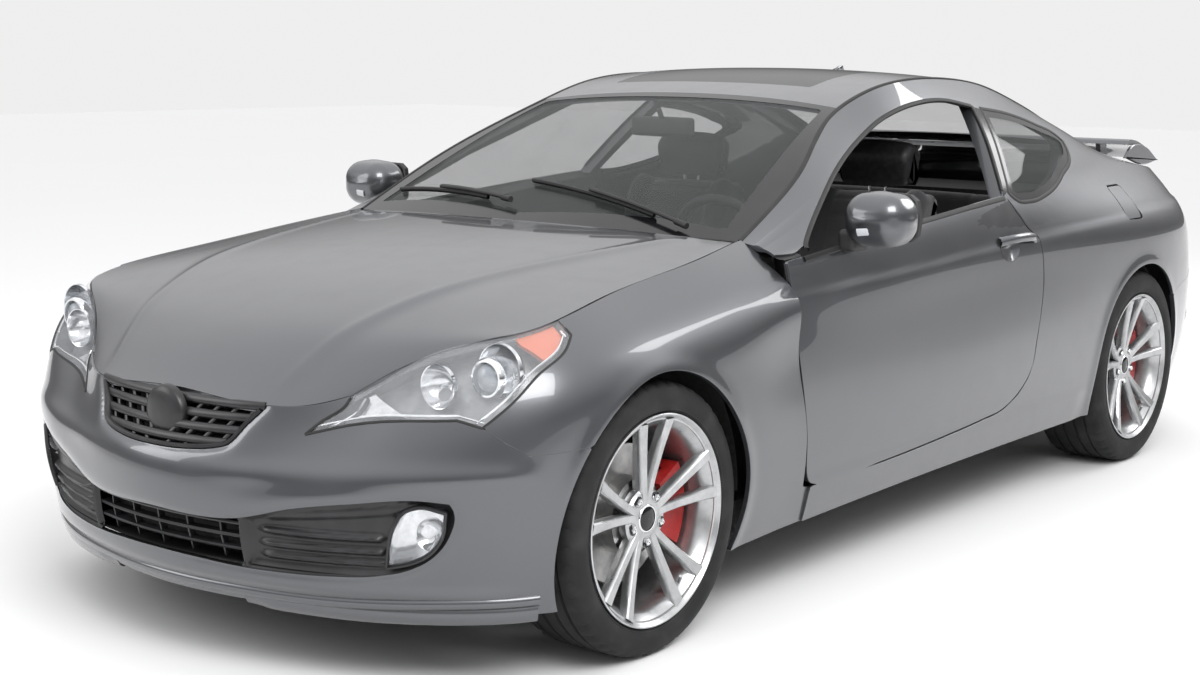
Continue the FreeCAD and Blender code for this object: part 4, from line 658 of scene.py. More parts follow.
def run_of(points, closed):
    """The direction of a line or ring at each of its points."""
    if closed:
        return unit(np.roll(points, -1, 0) - np.roll(points, 1, 0))
    return unit(np.gradient(points, axis=0))


def ribbon(points, normals, profile, closed=True):
    """A strip along points, with a profile of places across it and above the surface."""
    points = np.asarray(points, float)
    across = unit(np.cross(run_of(points, closed), normals))
    profile = np.array(profile, float)
    grid = points[:, None] + across[:, None] * profile[None, :, :1] + normals[:, None] * profile[None, :, 1:]
    return lattice(grid, closed)


def lattice(grid, wrap_rows=False, wrap_columns=False):
    """A shape from a grid of points."""
    rows, columns = grid.shape[:2]
    index = np.arange(rows * columns).reshape(rows, columns)
    if wrap_rows:
        index = np.concatenate([index, index[:1]])
    if wrap_columns:
        index = np.concatenate([index, index[:, :1]], 1)
    faces = np.stack([index[:-1, :-1], index[1:, :-1], index[1:, 1:], index[:-1, 1:]], -1).reshape(-1, 4)
    return Shape(grid.reshape(-1, 3), (), faces)


def rod(points, radius, sides=8, closed=False):
    """A round bar along points. The radius is a number or one for each point."""
    points = np.asarray(points, float)
    run = run_of(points, closed)
    helper = np.array([0, 0, 1.0]) if abs(run[:, 2]).mean() < 0.8 else np.array([1.0, 0, 0])
    first = unit(np.cross(run, helper))
    second = np.cross(run, first)
    angle = np.linspace(0, 2 * np.pi, sides, endpoint=False)
    radius = np.broadcast_to(radius, len(points))[:, None, None]
    ring = np.cos(angle)[None, :, None] * first[:, None] + np.sin(angle)[None, :, None] * second[:, None]
    shape = lattice(points[:, None] + ring * radius, closed, True)
    if not closed:
        last = len(points) * sides
        shape.faces += [tuple(range(sides)), tuple(range(last - 1, last - sides - 1, -1))]
        shape.slots += [0, 0]
    return shape


def turned(profile, count=96, closed=True):
    """A shape turned round the y axis from places of radius and y."""
    angle = np.linspace(0, 2 * np.pi, count, endpoint=False)
    profile = np.array(profile, float)
    grid = np.stack([np.cos(angle)[:, None] * profile[None, :, 0],
                     np.broadcast_to(profile[None, :, 1], (count, len(profile))),
                     np.sin(angle)[:, None] * profile[None, :, 0]], -1)
    return lattice(grid, True, closed)


def rounded_block(low, high, radius, segments=4, crown=0.0):
    """A box with round edges, its faces crowned outwards."""
    low, high = np.array(low, float), np.array(high, float)
    half = (high - low) / 2
    radius = min(radius, half.min() * 0.98)
    steps = np.concatenate([np.linspace(-1, -0.75, segments + 1), np.linspace(-0.6, 0.6, 7),
                            np.linspace(0.75, 1, segments + 1)])
    result = Shape()
    for axis in range(3):
        for sign in (-1, 1):
            u, v = np.meshgrid(steps, steps, indexing="ij")
            cube = np.zeros(u.shape + (3,))
            cube[..., axis] = sign
            cube[..., (axis + 1) % 3] = u * sign
            cube[..., (axis + 2) % 3] = v
            span = half - radius
            core = np.sign(cube) * np.minimum(np.abs(cube) / 0.75, 1) * span
            edge = np.clip((np.abs(cube) - 0.75) / 0.25, 0, 1) * np.sign(cube)
            edge[..., axis] = sign
            edge = np.tan(edge * math.pi / 4)
            swell = np.prod([1 - (np.abs(cube[..., k]) ** 2) for k in range(3) if k != axis], axis=0)
            points = core + unit(edge) * radius
            points[..., axis] += sign * crown * swell
            result.add(lattice(points + (low + high) / 2))
    return welded(result)


def welded(shape, digits=3):
    """The shape with points at one place joined."""
    places = np.round(shape.points, digits)
    first, back = np.unique(places, axis=0, return_index=True, return_inverse=True)[1:]
    back = back.reshape(-1)
    faces = []
    slots = []
    for face, slot_number in zip(shape.faces, shape.slots):
        ring = [back[k] for k in face]
        ring = [k for n, k in enumerate(ring) if k != ring[n - 1]]
        if len(ring) > 2:
            faces.append(ring)
            slots.append(slot_number)
    return Shape(shape.points[first], (), faces, slots)


def extruded(outline, low, high, axis=1, bevel=3.0):
    """A bar with an outline as its section, its ends bevelled. The outline lacks the axis."""
    outline = np.array(outline, float)
    if np.cross(outline - np.roll(outline, 1, 0), np.roll(outline, -1, 0) - outline).sum() < 0:
        outline = outline[::-1]
    run = unit(np.roll(outline, -1, 0) - np.roll(outline, 1, 0))
    inward = np.stack([-run[:, 1], run[:, 0]], 1)
    rows = []
    for place, inset in ((low, bevel), (low + bevel, 0), (high - bevel, 0), (high, bevel)):
        flat = outline + inward * inset
        rows.append(np.insert(flat, axis, place, axis=1))
    shape = lattice(np.array(rows), False, True)
    count = len(outline)
    shape.faces += [tuple(range(count)), tuple(range(4 * count - 1, 3 * count - 1, -1))]
    shape.slots += [0, 0]
    return shape


# Materials: each is a small tree of nodes


class Look:
    """A material, its shader and the nodes that feed it."""

    def __init__(self, name, **values):
        self.material = bpy.data.materials.new(name)
        self.material.use_nodes = True
        self.tree = self.material.node_tree
        self.shader = self.tree.nodes["Principled BSDF"]
        self.feed(self.shader, values)
        self.place = self.node("ShaderNodeTexCoord").outputs["Object"]

    def feed(self, node, values):
        for key, value in values.items():
            socket = node.inputs[key.replace("_", " ").title().replace("Ior", "IOR")]
            if isinstance(value, Number):
                value = value.socket
            if isinstance(value, bpy.types.NodeSocket):
                self.tree.links.new(value, socket)
            elif isinstance(value, tuple) and len(value) == 3 and socket.type == "RGBA":
                socket.default_value = value + (1,)
            else:
                socket.default_value = value

    def node(self, kind, settings=None, **values):
        node = self.tree.nodes.new(kind)
        for key, value in (settings or {}).items():
            setattr(node, key, value)
        self.feed(node, values)
        return node

    def stretched(self, scale):
        """The place, stretched by three numbers."""
        node = self.node("ShaderNodeMapping")
        node.inputs["Scale"].default_value = scale
        self.tree.links.new(self.place, node.inputs["Vector"])
        return node.outputs["Vector"]

    def noise(self, scale, detail=3.0, roughness=0.5, vector=None):
        node = self.node("ShaderNodeTexNoise", vector=vector or self.place, scale=scale, detail=detail,
                         roughness=roughness)
        return Number(self, node.outputs["Fac"])

    def cells(self, scale, output="Distance", vector=None):
        node = self.node("ShaderNodeTexVoronoi", vector=vector or self.place, scale=scale)
        return Number(self, node.outputs[output])

    def axis(self, name, vector=None):
        node = self.node("ShaderNodeSeparateXYZ", vector=vector or self.place)
        return Number(self, node.outputs[name])

    def blend(self, share, first, second):
        node = self.node("ShaderNodeMix", {"data_type": "RGBA"})
        for socket, value in zip((node.inputs[0], node.inputs[6], node.inputs[7]), (share, first, second)):
            if isinstance(value, Number):
                self.tree.links.new(value.socket, socket)
            elif isinstance(value, bpy.types.NodeSocket):
                self.tree.links.new(value, socket)
            else:
                socket.default_value = value + (1,) if isinstance(value, tuple) else value
        return node.outputs[2]

    def bump(self, height, distance, strength=1.0, normal=None):
        node = self.node("ShaderNodeBump", height=height, distance=distance, strength=strength)
        if normal:
            self.tree.links.new(normal, node.inputs["Normal"])
        return node.outputs["Normal"]

    def finish(self, **values):
        self.feed(self.shader, values)
        return self.material


class Number:
    """A number that the nodes work out, for use in sums."""

    def __init__(self, look, socket):
        self.look = look
        self.socket = socket

    def sum(self, operation, other, swapped=False, clamp=False):
        node = self.look.node("ShaderNodeMath", {"operation": operation, "use_clamp": clamp})
        pair_of_values = (other, self) if swapped else (self, other)
        for socket, value in zip(node.inputs, pair_of_values):
            if isinstance(value, Number):
                self.look.tree.links.new(value.socket, socket)
            else:
                socket.default_value = value
        return Number(self.look, node.outputs[0])

    def __add__(self, other):
        return self.sum("ADD", other)

    def __sub__(self, other):
        return self.sum("SUBTRACT", other)

    def __mul__(self, other):
        return self.sum("MULTIPLY", other)

    def __truediv__(self, other):
        return self.sum("DIVIDE", other)

    def __radd__(self, other):
        return self.sum("ADD", other, True)

    def __rsub__(self, other):
        return self.sum("SUBTRACT", other, True)

    def __rmul__(self, other):
        return self.sum("MULTIPLY", other, True)

    def above(self, limit):
        return self.sum("GREATER_THAN", limit)

    def sine(self):
        return self.sum("SINE", 0.0)

    def between(self, low, high):
        """0 at low and 1 at high, kept within 0 and 1."""
        node = self.look.node("ShaderNodeMapRange", {"interpolation_type": "SMOOTHSTEP"}, value=self.socket,
                              from_min=low, from_max=high)
        return Number(self.look, node.outputs[0])


def paint():
    """Metallic grey under clear lacquer: flakes, and a faint unevenness of the coat."""
    look = Look("grey_paint", metallic=0.82, coat_weight=1.0, coat_roughness=0.02)
    flakes = look.cells(5200.0, "Color")
    tint = look.blend(flakes * 0.22 + look.noise(2.0) * 0.12, (0.098, 0.101, 0.108), (0.165, 0.17, 0.182))
    grain = look.bump(look.cells(3600.0), 0.00004, 0.18)
    dust = look.noise(11.0, 5.0).between(0.35, 0.8)
    return look.finish(base_color=tint, roughness=dust * 0.05 + 0.3, normal=grain)


def plastic(name, colour, light, rough=0.5, grain=900.0, depth=0.00008):
    """Moulded plastic with a fine grain and a little dust in it."""
    look = Look(name)
    wear = look.noise(18.0, 4.0)
    tint = look.blend(wear.between(0.3, 0.75), colour, light)
    height = look.cells(grain) * 0.7 + look.noise(grain * 1.6, 2.0) * 0.3
    return look.finish(base_color=tint, roughness=wear * 0.14 + (rough - 0.07),
                       normal=look.bump(height, depth, 0.6))


def metal(name, colour, light, rough=0.3, scratches=0.1, metallic=1.0, scale=60.0):
    look = Look(name, metallic=metallic)
    spots = look.noise(scale, 5.0, 0.6)
    tint = look.blend(spots.between(0.25, 0.75), colour, light)
    fine = look.noise(scale * 14, 3.0)
    return look.finish(base_color=tint, roughness=spots * scratches + rough,
                       normal=look.bump(fine, 0.00005, 0.35))


def brushed_disc():
    """Turned iron: rings round the wheel, bright where the pads rub."""
    look = Look("disc_iron", metallic=1.0)
    spots = look.noise(30.0, 4.0)
    rings = look.noise(400.0, 2.0, vector=look.stretched((0.02, 1.0, 0.02)))
    tint = look.blend(spots.between(0.3, 0.8), (0.3, 0.3, 0.3), (0.46, 0.45, 0.44))
    return look.finish(base_color=tint, roughness=spots * 0.12 + 0.26, normal=look.bump(rings, 0.0001, 0.4))


def clear(name, colour, rough=0.0, alpha=0.2):
    """Window glass: see-through, with reflections and a trace of dust."""
    look = Look(name, ior=1.5, specular_ior_level=0.6)
    dust = look.noise(7.0, 5.0)
    tint = look.blend(dust, colour, tuple(min(1.0, part * 1.25 + 0.004) for part in colour))
    return look.finish(base_color=tint, roughness=dust * 0.03 + rough,
                       alpha=dust.between(0.2, 0.9) * 0.03 + alpha, transmission_weight=0.0)


def lens(name, colour, alpha):
    look = Look(name, ior=1.5, specular_ior_level=0.7, coat_weight=0.5)
    dust = look.noise(25.0, 4.0)
    tint = look.blend(dust, colour, tuple(part * 0.9 for part in colour))
    return look.finish(base_color=tint, roughness=dust * 0.04 + 0.02, alpha=dust * 0.02 + alpha)


def rubber():
    """Tyre rubber: matt black, greyer where it is dusty, with fine mould lines."""
    look = Look("tyre_rubber", specular_ior_level=0.35)
    dust = look.noise(14.0, 6.0)
    tint = look.blend(dust.between(0.4, 0.9), (0.011, 0.011, 0.012), (0.034, 0.033, 0.032))
    height = look.noise(260.0, 3.0) * 0.6 + look.cells(700.0) * 0.4
    return look.finish(base_color=tint, roughness=dust * 0.15 + 0.68, normal=look.bump(height, 0.0003, 0.5))


def cloth(name, colour, light, scale=420.0):
    """Woven seat cloth: a fine weave with a soft sheen."""
    look = Look(name, sheen_weight=0.35, sheen_roughness=0.5)
    first = (look.axis("X") * scale * 6.28).sine()
    second = (look.axis("Z") * scale * 6.28).sine()
    third = (look.axis("Y") * scale * 6.28).sine()
    weave = first * third + second * third
    tint = look.blend(weave.between(-1.0, 1.6), colour, light)
    return look.finish(base_color=tint, roughness=look.noise(20.0) * 0.12 + 0.8,
                       normal=look.bump(weave + look.noise(1500.0) * 0.8, 0.0004, 0.5))


def leather(name, colour, light):
    look = Look(name, specular_ior_level=0.4)
    pores = look.cells(520.0)
    creases = look.noise(60.0, 5.0)
    tint = look.blend(creases.between(0.3, 0.8), colour, light)
    return look.finish(base_color=tint, roughness=creases * 0.15 + 0.42,
                       normal=look.bump(pores * 0.7 + creases * 0.6, 0.0004, 0.55))


PAINT = paint()
BLACK = plastic("black_plastic", (0.012, 0.012, 0.013), (0.024, 0.024, 0.025), 0.55)
GRILLE_BLACK = plastic("grille_black", (0.013, 0.013, 0.014), (0.022, 0.022, 0.024), 0.34, 500.0)
GLOSS = plastic("gloss_black", (0.006, 0.006, 0.007), (0.010, 0.010, 0.011), 0.12, 1500.0, 0.00002)
SEAL = plastic("rubber_seal", (0.008, 0.008, 0.008), (0.018, 0.018, 0.018), 0.6)
DASH_TRIM = plastic("dash_grain", (0.020, 0.020, 0.022), (0.036, 0.036, 0.039), 0.62, 420.0, 0.0002)
SEAT_CLOTH = cloth("seat_cloth", (0.015, 0.015, 0.017), (0.042, 0.042, 0.046))
SEAT_LEATHER = leather("seat_leather", (0.014, 0.014, 0.015), (0.028, 0.028, 0.03))
ALLOY = metal("wheel_alloy", (0.42, 0.425, 0.43), (0.56, 0.565, 0.57), 0.24, 0.1, 0.9, 25.0)
CHROME = metal("chrome", (0.72, 0.73, 0.74), (0.85, 0.86, 0.87), 0.04, 0.06)
REFLECTOR = metal("lamp_reflector", (0.62, 0.63, 0.65), (0.85, 0.86, 0.88), 0.1, 0.12, 1.0, 45.0)
LAMP_GREY = metal("lamp_housing", (0.2, 0.205, 0.215), (0.3, 0.305, 0.315), 0.3, 0.1, 0.6, 30.0)
EXHAUST = metal("exhaust_steel", (0.36, 0.35, 0.33), (0.5, 0.49, 0.47), 0.2, 0.25)
CASTING = metal("dark_casting", (0.05, 0.05, 0.052), (0.1, 0.1, 0.1), 0.5, 0.2, 0.7)
UNDERBODY = metal("underbody", (0.02, 0.02, 0.02), (0.045, 0.045, 0.043), 0.7, 0.2, 0.2)
DISC = brushed_disc()
CALIPER_RED = metal("caliper_red", (0.33, 0.012, 0.012), (0.46, 0.02, 0.018), 0.28, 0.12, 0.1)
RUBBER = rubber()
GLASS = clear("window_glass", (0.055, 0.062, 0.06), 0.0, 0.24)
DARK_GLASS = clear("roof_glass", (0.008, 0.008, 0.009), 0.0, 0.93)
LAMP_GLASS = lens("lamp_lens", (0.8, 0.82, 0.85), 0.1)
RED_LENS = lens("red_lens", (0.42, 0.006, 0.008), 0.88)
AMBER_LENS = lens("amber_lens", (0.62, 0.1, 0.008), 0.92)
MIRROR_GLASS = metal("mirror_glass", (0.78, 0.8, 0.82), (0.86, 0.87, 0.88), 0.01, 0.02)
WHITE_LENS = lens("white_lens", (0.75, 0.77, 0.8), 0.85)
LIT_RED = plastic("red_light_tube", (0.5, 0.008, 0.01), (0.62, 0.015, 0.018), 0.12, 900.0, 0.00002)

CARRIED = {
    "floor_pan": UNDERBODY, "engine_block": CASTING, "front_subframe": UNDERBODY, "rear_subframe": UNDERBODY,
    "knuckle_l": CASTING, "knuckle_r": CASTING, "rear_calipers": CALIPER_RED, "caliper_fl": CALIPER_RED,
    "caliper_fr": CALIPER_RED, "disc_fl": DISC, "disc_fr": DISC, "disc_rl": DISC, "disc_rr": DISC,
    "wheel_liners": UNDERBODY, "exhaust": EXHAUST, "cowl_panel": BLACK,
    "side_frame_l": PAINT, "side_frame_r": PAINT, "roof_panel": PAINT, "hood": PAINT, "trunk_lid": PAINT,
    "door_l": DASH_TRIM, "door_r": DASH_TRIM, "fuel_flap": PAINT, "dashboard": DASH_TRIM,
    "steering_wheel": DASH_TRIM, "rear_bumper": PAINT,
}
for node, look in CARRIED.items():
    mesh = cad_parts[node].data
    mesh.materials.clear()
    mesh.materials.append(look)


# Painted panels: a fine skin just over each panel's solid, with its creases and folded edges

SKIN = 1.0
FOLD = 7.0
BUMPER_FOLD = 16.0
RAIL_END = 1.0 - 0.8 / 560


def arch_lip(points, axle, hub):
    """The raised lip round a wheel arch."""
    out = round_hub(points, axle, hub) - hub - ARCH_GAP
    return 5.0 * np.exp(-(out / 26.0) ** 2) * (points[:, 2] > 180) * (out > -30)


def side_crease(points):
    """The line that rises along the doors to the rear lamps."""
    line = np.interp(points[:, 0], (-2300, -1300, -300, 300, 930, 1300), (905, 880, 842, 816, 798, 790))
    below = line - points[:, 2]
    strength = soft_step(-points[:, 0], -1250, -600)
    return 5.0 * strength * np.exp(-np.where(below > 0, (below / 75.0) ** 2, (below / 9.0) ** 2))


def sill_step(points):
    """The side skirt stands out under the doors."""
    skirt = soft_step(-points[:, 2], -330, -300) * (1 - soft_step(-points[:, 0], 800, 905))
    return 5.0 * skirt * soft_step(-points[:, 0], -1200, -1100)


def side_raise(points):
    return arch_lip(points, REAR_AXLE, REAR_HUB) + side_crease(points) + sill_step(points)


def front_raise(points):
    return arch_lip(points, FRONT_AXLE, FRONT_HUB) + side_crease(points)


def hood_raise(points):
    """The raised middle of the hood, between two creases that run apart to the windshield."""
    edge = np.interp(points[:, 0], (950, 1400, 1720, 2000, 2150), (610, 520, 450, 370, 315))
    across = np.abs(points[:, 1])
    ridge = 4.0 * np.exp(-((across - edge) / 24.0) ** 2) + 6.0 * soft_step(edge + 14 - across, 0, 34)
    return ridge * soft_step(2215 - points[:, 0], 0, 120) * soft_step(points[:, 0] - 930, 0, 150)


def bumper_raise(points):
    """The bumper's edges turn into its openings, and its chin stands out."""
    upper = -inside(points, "upper_grille")
    lower = -inside(points, "lower_grille")
    front = soft_step(points[:, 0], 1900, 2000)
    turned_in = 9.0 * np.exp(-np.maximum(lower, 0) / 11.0) + 6.0 * np.exp(-np.maximum(upper, 0) / 9.0)
    flank = np.interp(np.abs(points[:, 1]), (0, 300, 600, 800, 935), (470, 485, 500, 505, 510))
    fold = 5.0 * np.exp(-((points[:, 2] - flank) / 26.0) ** 2) * soft_step(np.abs(points[:, 1]), 120, 320)
    chin = 5.0 * np.exp(-((points[:, 2] - 232) / 14.0) ** 2)
    return (fold + chin) * front - turned_in * front + arch_lip(points, FRONT_AXLE, FRONT_HUB)


def fender_keep(points):
    return np.minimum.reduce([inside(points, "fender"), -inside(points, "door") - DOOR_GAP,
                              round_hub(points, FRONT_AXLE, FRONT_HUB) - FRONT_HUB - ARCH_GAP])


def bumper_keep(points):
    return np.minimum.reduce([-inside(points, "behind_bumper") - 1.6, -inside(points, "upper_grille"),
                              -inside(points, "lower_grille"),
                              round_hub(points, FRONT_AXLE, FRONT_HUB) - FRONT_HUB - ARCH_GAP])


def door_keep(points):
    return inside(points, "door") + 0.4


def tail_lamp_depth(points):
    """Distance into the tail lamp's place, seen from behind and from the side."""
    height = np.minimum(points[:, 2] - 788, 925 - points[:, 2])
    length = np.minimum(-points[:, 0] - 2010, np.abs(points[:, 1]) - 500)
    return np.minimum(height, length)


def side_keep(points):
    """The body side round its openings. Only the left side has a fuel door."""
    keeps = [-inside(points, name) + 1.2 for name in ("door_opening", "door_window", "quarter_window")]
    keeps.append(-inside(points, "rear_bumper"))
    keeps.append(round_hub(points, REAR_AXLE, REAR_HUB) - REAR_HUB - ARCH_GAP)
    keeps.append(-tail_lamp_depth(points))
    return np.minimum.reduce(keeps)


def side_keep_with_fuel_door(points):
    return np.minimum(side_keep(points), -inside(points, "fuel_door") - 6.4)


def rear_bumper_keep(points):
    pipe = np.hypot(np.abs(points[:, 1]) - 330, points[:, 2] - 300) - 54 + 400 * (points[:, 0] > -1900)
    plate = np.maximum(np.abs(points[:, 1]) - 265, np.abs(points[:, 2] - 560) - 68)
    plate = plate + 400 * (points[:, 0] > -2100)
    return np.minimum.reduce([pipe, plate, inside(points, "rear_bumper") - 0.8,
                              round_hub(points, REAR_AXLE, REAR_HUB) - REAR_HUB - ARCH_GAP])


WHOLE_FRONT = (0.0, front_end)
SIDE_S = (0.0, side.s[-1])

fender = sheet(front_body, (front_middle + 500, front_end), (0, 1), fender_keep, front_raise, SKIN)
pair("fender_skin", folded(fender, FOLD + 6), "body", [PAINT, UNDERBODY],
     ("fender_l", "fender_r"))
bumper = sheet(front_body, WHOLE_FRONT, (0, 1), bumper_keep, bumper_raise, 0.0, 10.0)
piece("front_bumper_skin", folded(bumper, BUMPER_FOLD, 0.8), "body", [PAINT, UNDERBODY],
      ["front_bumper"])
hood = sheet(hood_surface, (0, hood_surface.s[-1]), (-1, 1), None, hood_raise, SKIN)
piece("hood_skin", folded(hood, FOLD, 1.2, False), "hood", PAINT)
door = sheet(side, (0, side.at_x(-620, 0.5, 0.0, side.s[-1])), (0.02, 1.0), door_keep, side_raise, SKIN)
pair("door_skin", folded(door, FOLD, 1.6, False), ("door_l", "door_r"), PAINT)
left_side = sheet(side, SIDE_S, (0, RAIL), side_keep_with_fuel_door, side_raise, SKIN)
piece("side_skin_l", folded(left_side, FOLD, 1.2, False), "body", PAINT)
right_side = sheet(side, SIDE_S, (0, RAIL), side_keep, side_raise, SKIN)
piece("side_skin_r", folded(right_side, FOLD, 1.2, False).mirrored(), "body", PAINT)
flap_s = side.at_x(-1226, 0.86, 0.0, side.s[-1])
flap = sheet(side, (flap_s - 120, flap_s + 120), (0.66, 1.04), lambda points: inside(points, "fuel_door"),
             None, SKIN, 5.0)
piece("fuel_flap_skin", folded(flap, 6.0, 0.6, False), "fuel_flap", PAINT)
roof = sheet(top, (top.s[HEADER], top.s[REAR_HEADER]), (-RAIL_END, RAIL_END),
             lambda points: -inside(points, "sunroof"), None, SKIN, 14.0)
piece("roof_skin", folded(roof, FOLD, 0.6, False), "body", PAINT)
lid = sheet(lid_surface, (0, lid_surface.s[-1]), (-1, 1), None, None, SKIN)
piece("trunk_skin", folded(lid, FOLD, 1.2, False), "trunk_lid", PAINT)
rear_edge = rear_body.at_x(-1450, 0.3, 0.0, rear_middle)
rear_bumper = sheet(rear_body, (rear_edge, 2 * rear_middle - rear_edge), (0, 0.735), rear_bumper_keep,
                    lambda points: arch_lip(points, REAR_AXLE, REAR_HUB)
                    + 4.0 * np.exp(-((points[:, 2] - 455) / 24.0) ** 2) * (points[:, 0] < -1900), SKIN)
piece("rear_bumper_skin", folded(rear_bumper, BUMPER_FOLD, 0.8), "body", [PAINT, UNDERBODY],
      ["rear_bumper"])

# Glass
windshield = sheet(top, (0, top.s[HEADER] - 1), (-RAIL_END, RAIL_END), None, None, -0.5, 14.0)
piece("windshield", folded(windshield, 4.5, 0.0), "body", [GLASS, GLASS], ["fixed_glass"])
rear_pane = sheet(top, (top.s[REAR_HEADER] + 1, top.s[LID_FRONT]), (-RAIL_END, RAIL_END), None, None,
                  -0.5, 14.0)
piece("rear_window", folded(rear_pane, 4.5, 0.0), "body", [GLASS, GLASS])
roof_glass = sheet(top, (top.s[HEADER], top.s[REAR_HEADER]), (-1, 1),
                   lambda points: inside(points, "sunroof") - 2, None, 0.5, 14.0)
piece("sunroof_glass", folded(roof_glass, 4.0, 0.0), "body", [DARK_GLASS, DARK_GLASS])
quarter = sheet(side, SIDE_S, (0.86, RAIL), lambda points: inside(points, "quarter_window") - 1, None,
                0.0, 10.0)
pair("quarter_window", folded(quarter, 4.5, 0.0), "body", [GLASS, GLASS])
door_pane = sheet(side, SIDE_S, (0.86, RAIL), lambda points: inside(points, "door_window") - DOOR_GAP,
                  None, -0.5, 12.0)
piece("door_window_r", folded(door_pane, 4.5, 0.0).mirrored(), "door_r", [GLASS, GLASS],
      ["door_glass_r"])

# Wheels

RIM_BEAD, RIM_LIP, RIM_WALL = 241.3, 257.3, 9.0
TRACK_HALF, RIM_FACE = 800.0, 840.0
GROOVES = (-62.0, -22.0, 22.0, 62.0)
GROOVE_HALF, GROOVE_DEPTH = 4.5, 7.0
TREAD_STEPS = 192
SPOKE_PAIRS = 5
BOLT_RADIUS = 57.15


def about_y(turn):
    return np.array([[math.cos(turn), 0, math.sin(turn)], [0, 1, 0], [-math.sin(turn), 0, math.cos(turn)]])


def tyre_shape(width, diameter):
    """A tyre with round shoulders, four grooves round it and cuts across its shoulders."""
    half, outside = width / 2, diameter / 2
    flank = [(RIM_BEAD + 1, half - 15), (RIM_LIP + 1.5, half - 14), (RIM_LIP + 4, half - 9),
             (RIM_LIP + 9, half - 4), (RIM_LIP + 11, half - 4.5), (RIM_LIP + 20, half - 0.8),
             (RIM_LIP + 32, half), (outside - 26, half - 2.5), (outside - 24, half - 3.6),
             (outside - 14, half - 8), (outside - 7, half - 14), (outside - 3, half - 22)]
    tread = []
    for place in GROOVES[::-1]:
        tread += [(outside, place + GROOVE_HALF + 1.2), (outside - GROOVE_DEPTH, place + GROOVE_HALF - 1),
                  (outside - GROOVE_DEPTH, place - GROOVE_HALF + 1), (outside, place - GROOVE_HALF - 1.2)]
    profile = flank + [(outside - 0.6, half - 32)] + tread + [(outside - 0.6, 32 - half)]
    profile += [(radius, -out) for radius, out in flank[::-1]]
    angle = np.linspace(0, 2 * np.pi, TREAD_STEPS, endpoint=False)
    profile = np.array(profile)
    radius = np.broadcast_to(profile[:, 0], (TREAD_STEPS, len(profile))).copy()
    shoulder = (np.abs(profile[:, 1]) > 68) & (profile[:, 0] > outside - 12)
    radius[np.ix_(np.arange(TREAD_STEPS) % 4 == 0, shoulder)] -= 4.5
    across = np.broadcast_to(profile[:, 1] + TRACK_HALF, radius.shape)
    grid = np.stack([np.cos(angle)[:, None] * radius, across, np.sin(angle)[:, None] * radius], -1)
    return lattice(grid, True, True)


def spoke_bar(sign, edge):
    """One bar of a twin spoke: a bent bar with a flat face and bevelled flanks."""
    share = np.linspace(0, 1, 12)
    radius = 44 + share * (RIM_BEAD - 3 - 44)
    out = sign * (7 + 45 * share ** 1.15)
    half = 11.5 + 1.0 * share + 3.5 * share ** 4
    front = RIM_FACE + 33 + (edge - 6 - RIM_FACE - 33) * share ** 1.4
    back = front - 30 + 5 * share
    section = ((-1, 0.0), (-1.12, 0.5), (-1.0, 0.84), (-0.72, 1.0), (0.72, 1.0), (1.0, 0.84), (1.12, 0.5),
               (1, 0.0))
    rows = [[(x + side_share * wide, low + level * (high - low), z) for side_share, level in section]
            for x, z, wide, low, high in zip(out, radius, half, back, front)]
    return lattice(np.array(rows), False, True)


def rim_shape(width):
    edge = TRACK_HALF + width / 2 - 4
    back = TRACK_HALF - width / 2 + 4
    barrel = [(RIM_LIP, edge - 1), (RIM_LIP, edge - 7), (RIM_BEAD, edge - 11), (RIM_BEAD, edge - 38),
              (RIM_BEAD - 14, edge - 50), (RIM_BEAD - 14, back + 50), (RIM_BEAD, back + 38),
              (RIM_BEAD, back + 10), (RIM_LIP, back + 7), (RIM_LIP - 2, back), (RIM_LIP - RIM_WALL, back),
              (RIM_BEAD - RIM_WALL, back + 14),
              (RIM_BEAD - RIM_WALL - 14, back + 50), (RIM_BEAD - RIM_WALL - 14, edge - 48),
              (RIM_BEAD - RIM_WALL - 4, edge - 26), (RIM_LIP - RIM_WALL - 2, edge - 9),
              (RIM_LIP - RIM_WALL + 2, edge - 3), (RIM_LIP - 4, edge), (RIM_LIP - 1.5, edge)]
    shape = turned(barrel, 128)
    hub = [(24, RIM_FACE), (70, RIM_FACE), (75, RIM_FACE + 6), (74, RIM_FACE + 24), (68, RIM_FACE + 30),
           (40, RIM_FACE + 33), (34, RIM_FACE + 32), (33, RIM_FACE + 26), (24, RIM_FACE + 26)]
    shape.add(turned(hub, 64))
    for k in range(SPOKE_PAIRS):
        for sign in (-1, 1):
            shape.add(spoke_bar(sign, edge).moved(about_y(2 * math.pi * k / SPOKE_PAIRS), 0))
    valve = np.array([(0, edge - 34, 16 - RIM_BEAD), (0, edge - 26, 28 - RIM_BEAD),
                      (0, edge - 20, 40 - RIM_BEAD)])
    return shape.add(rod(valve, 4.0).moved(about_y(0.62), 0))


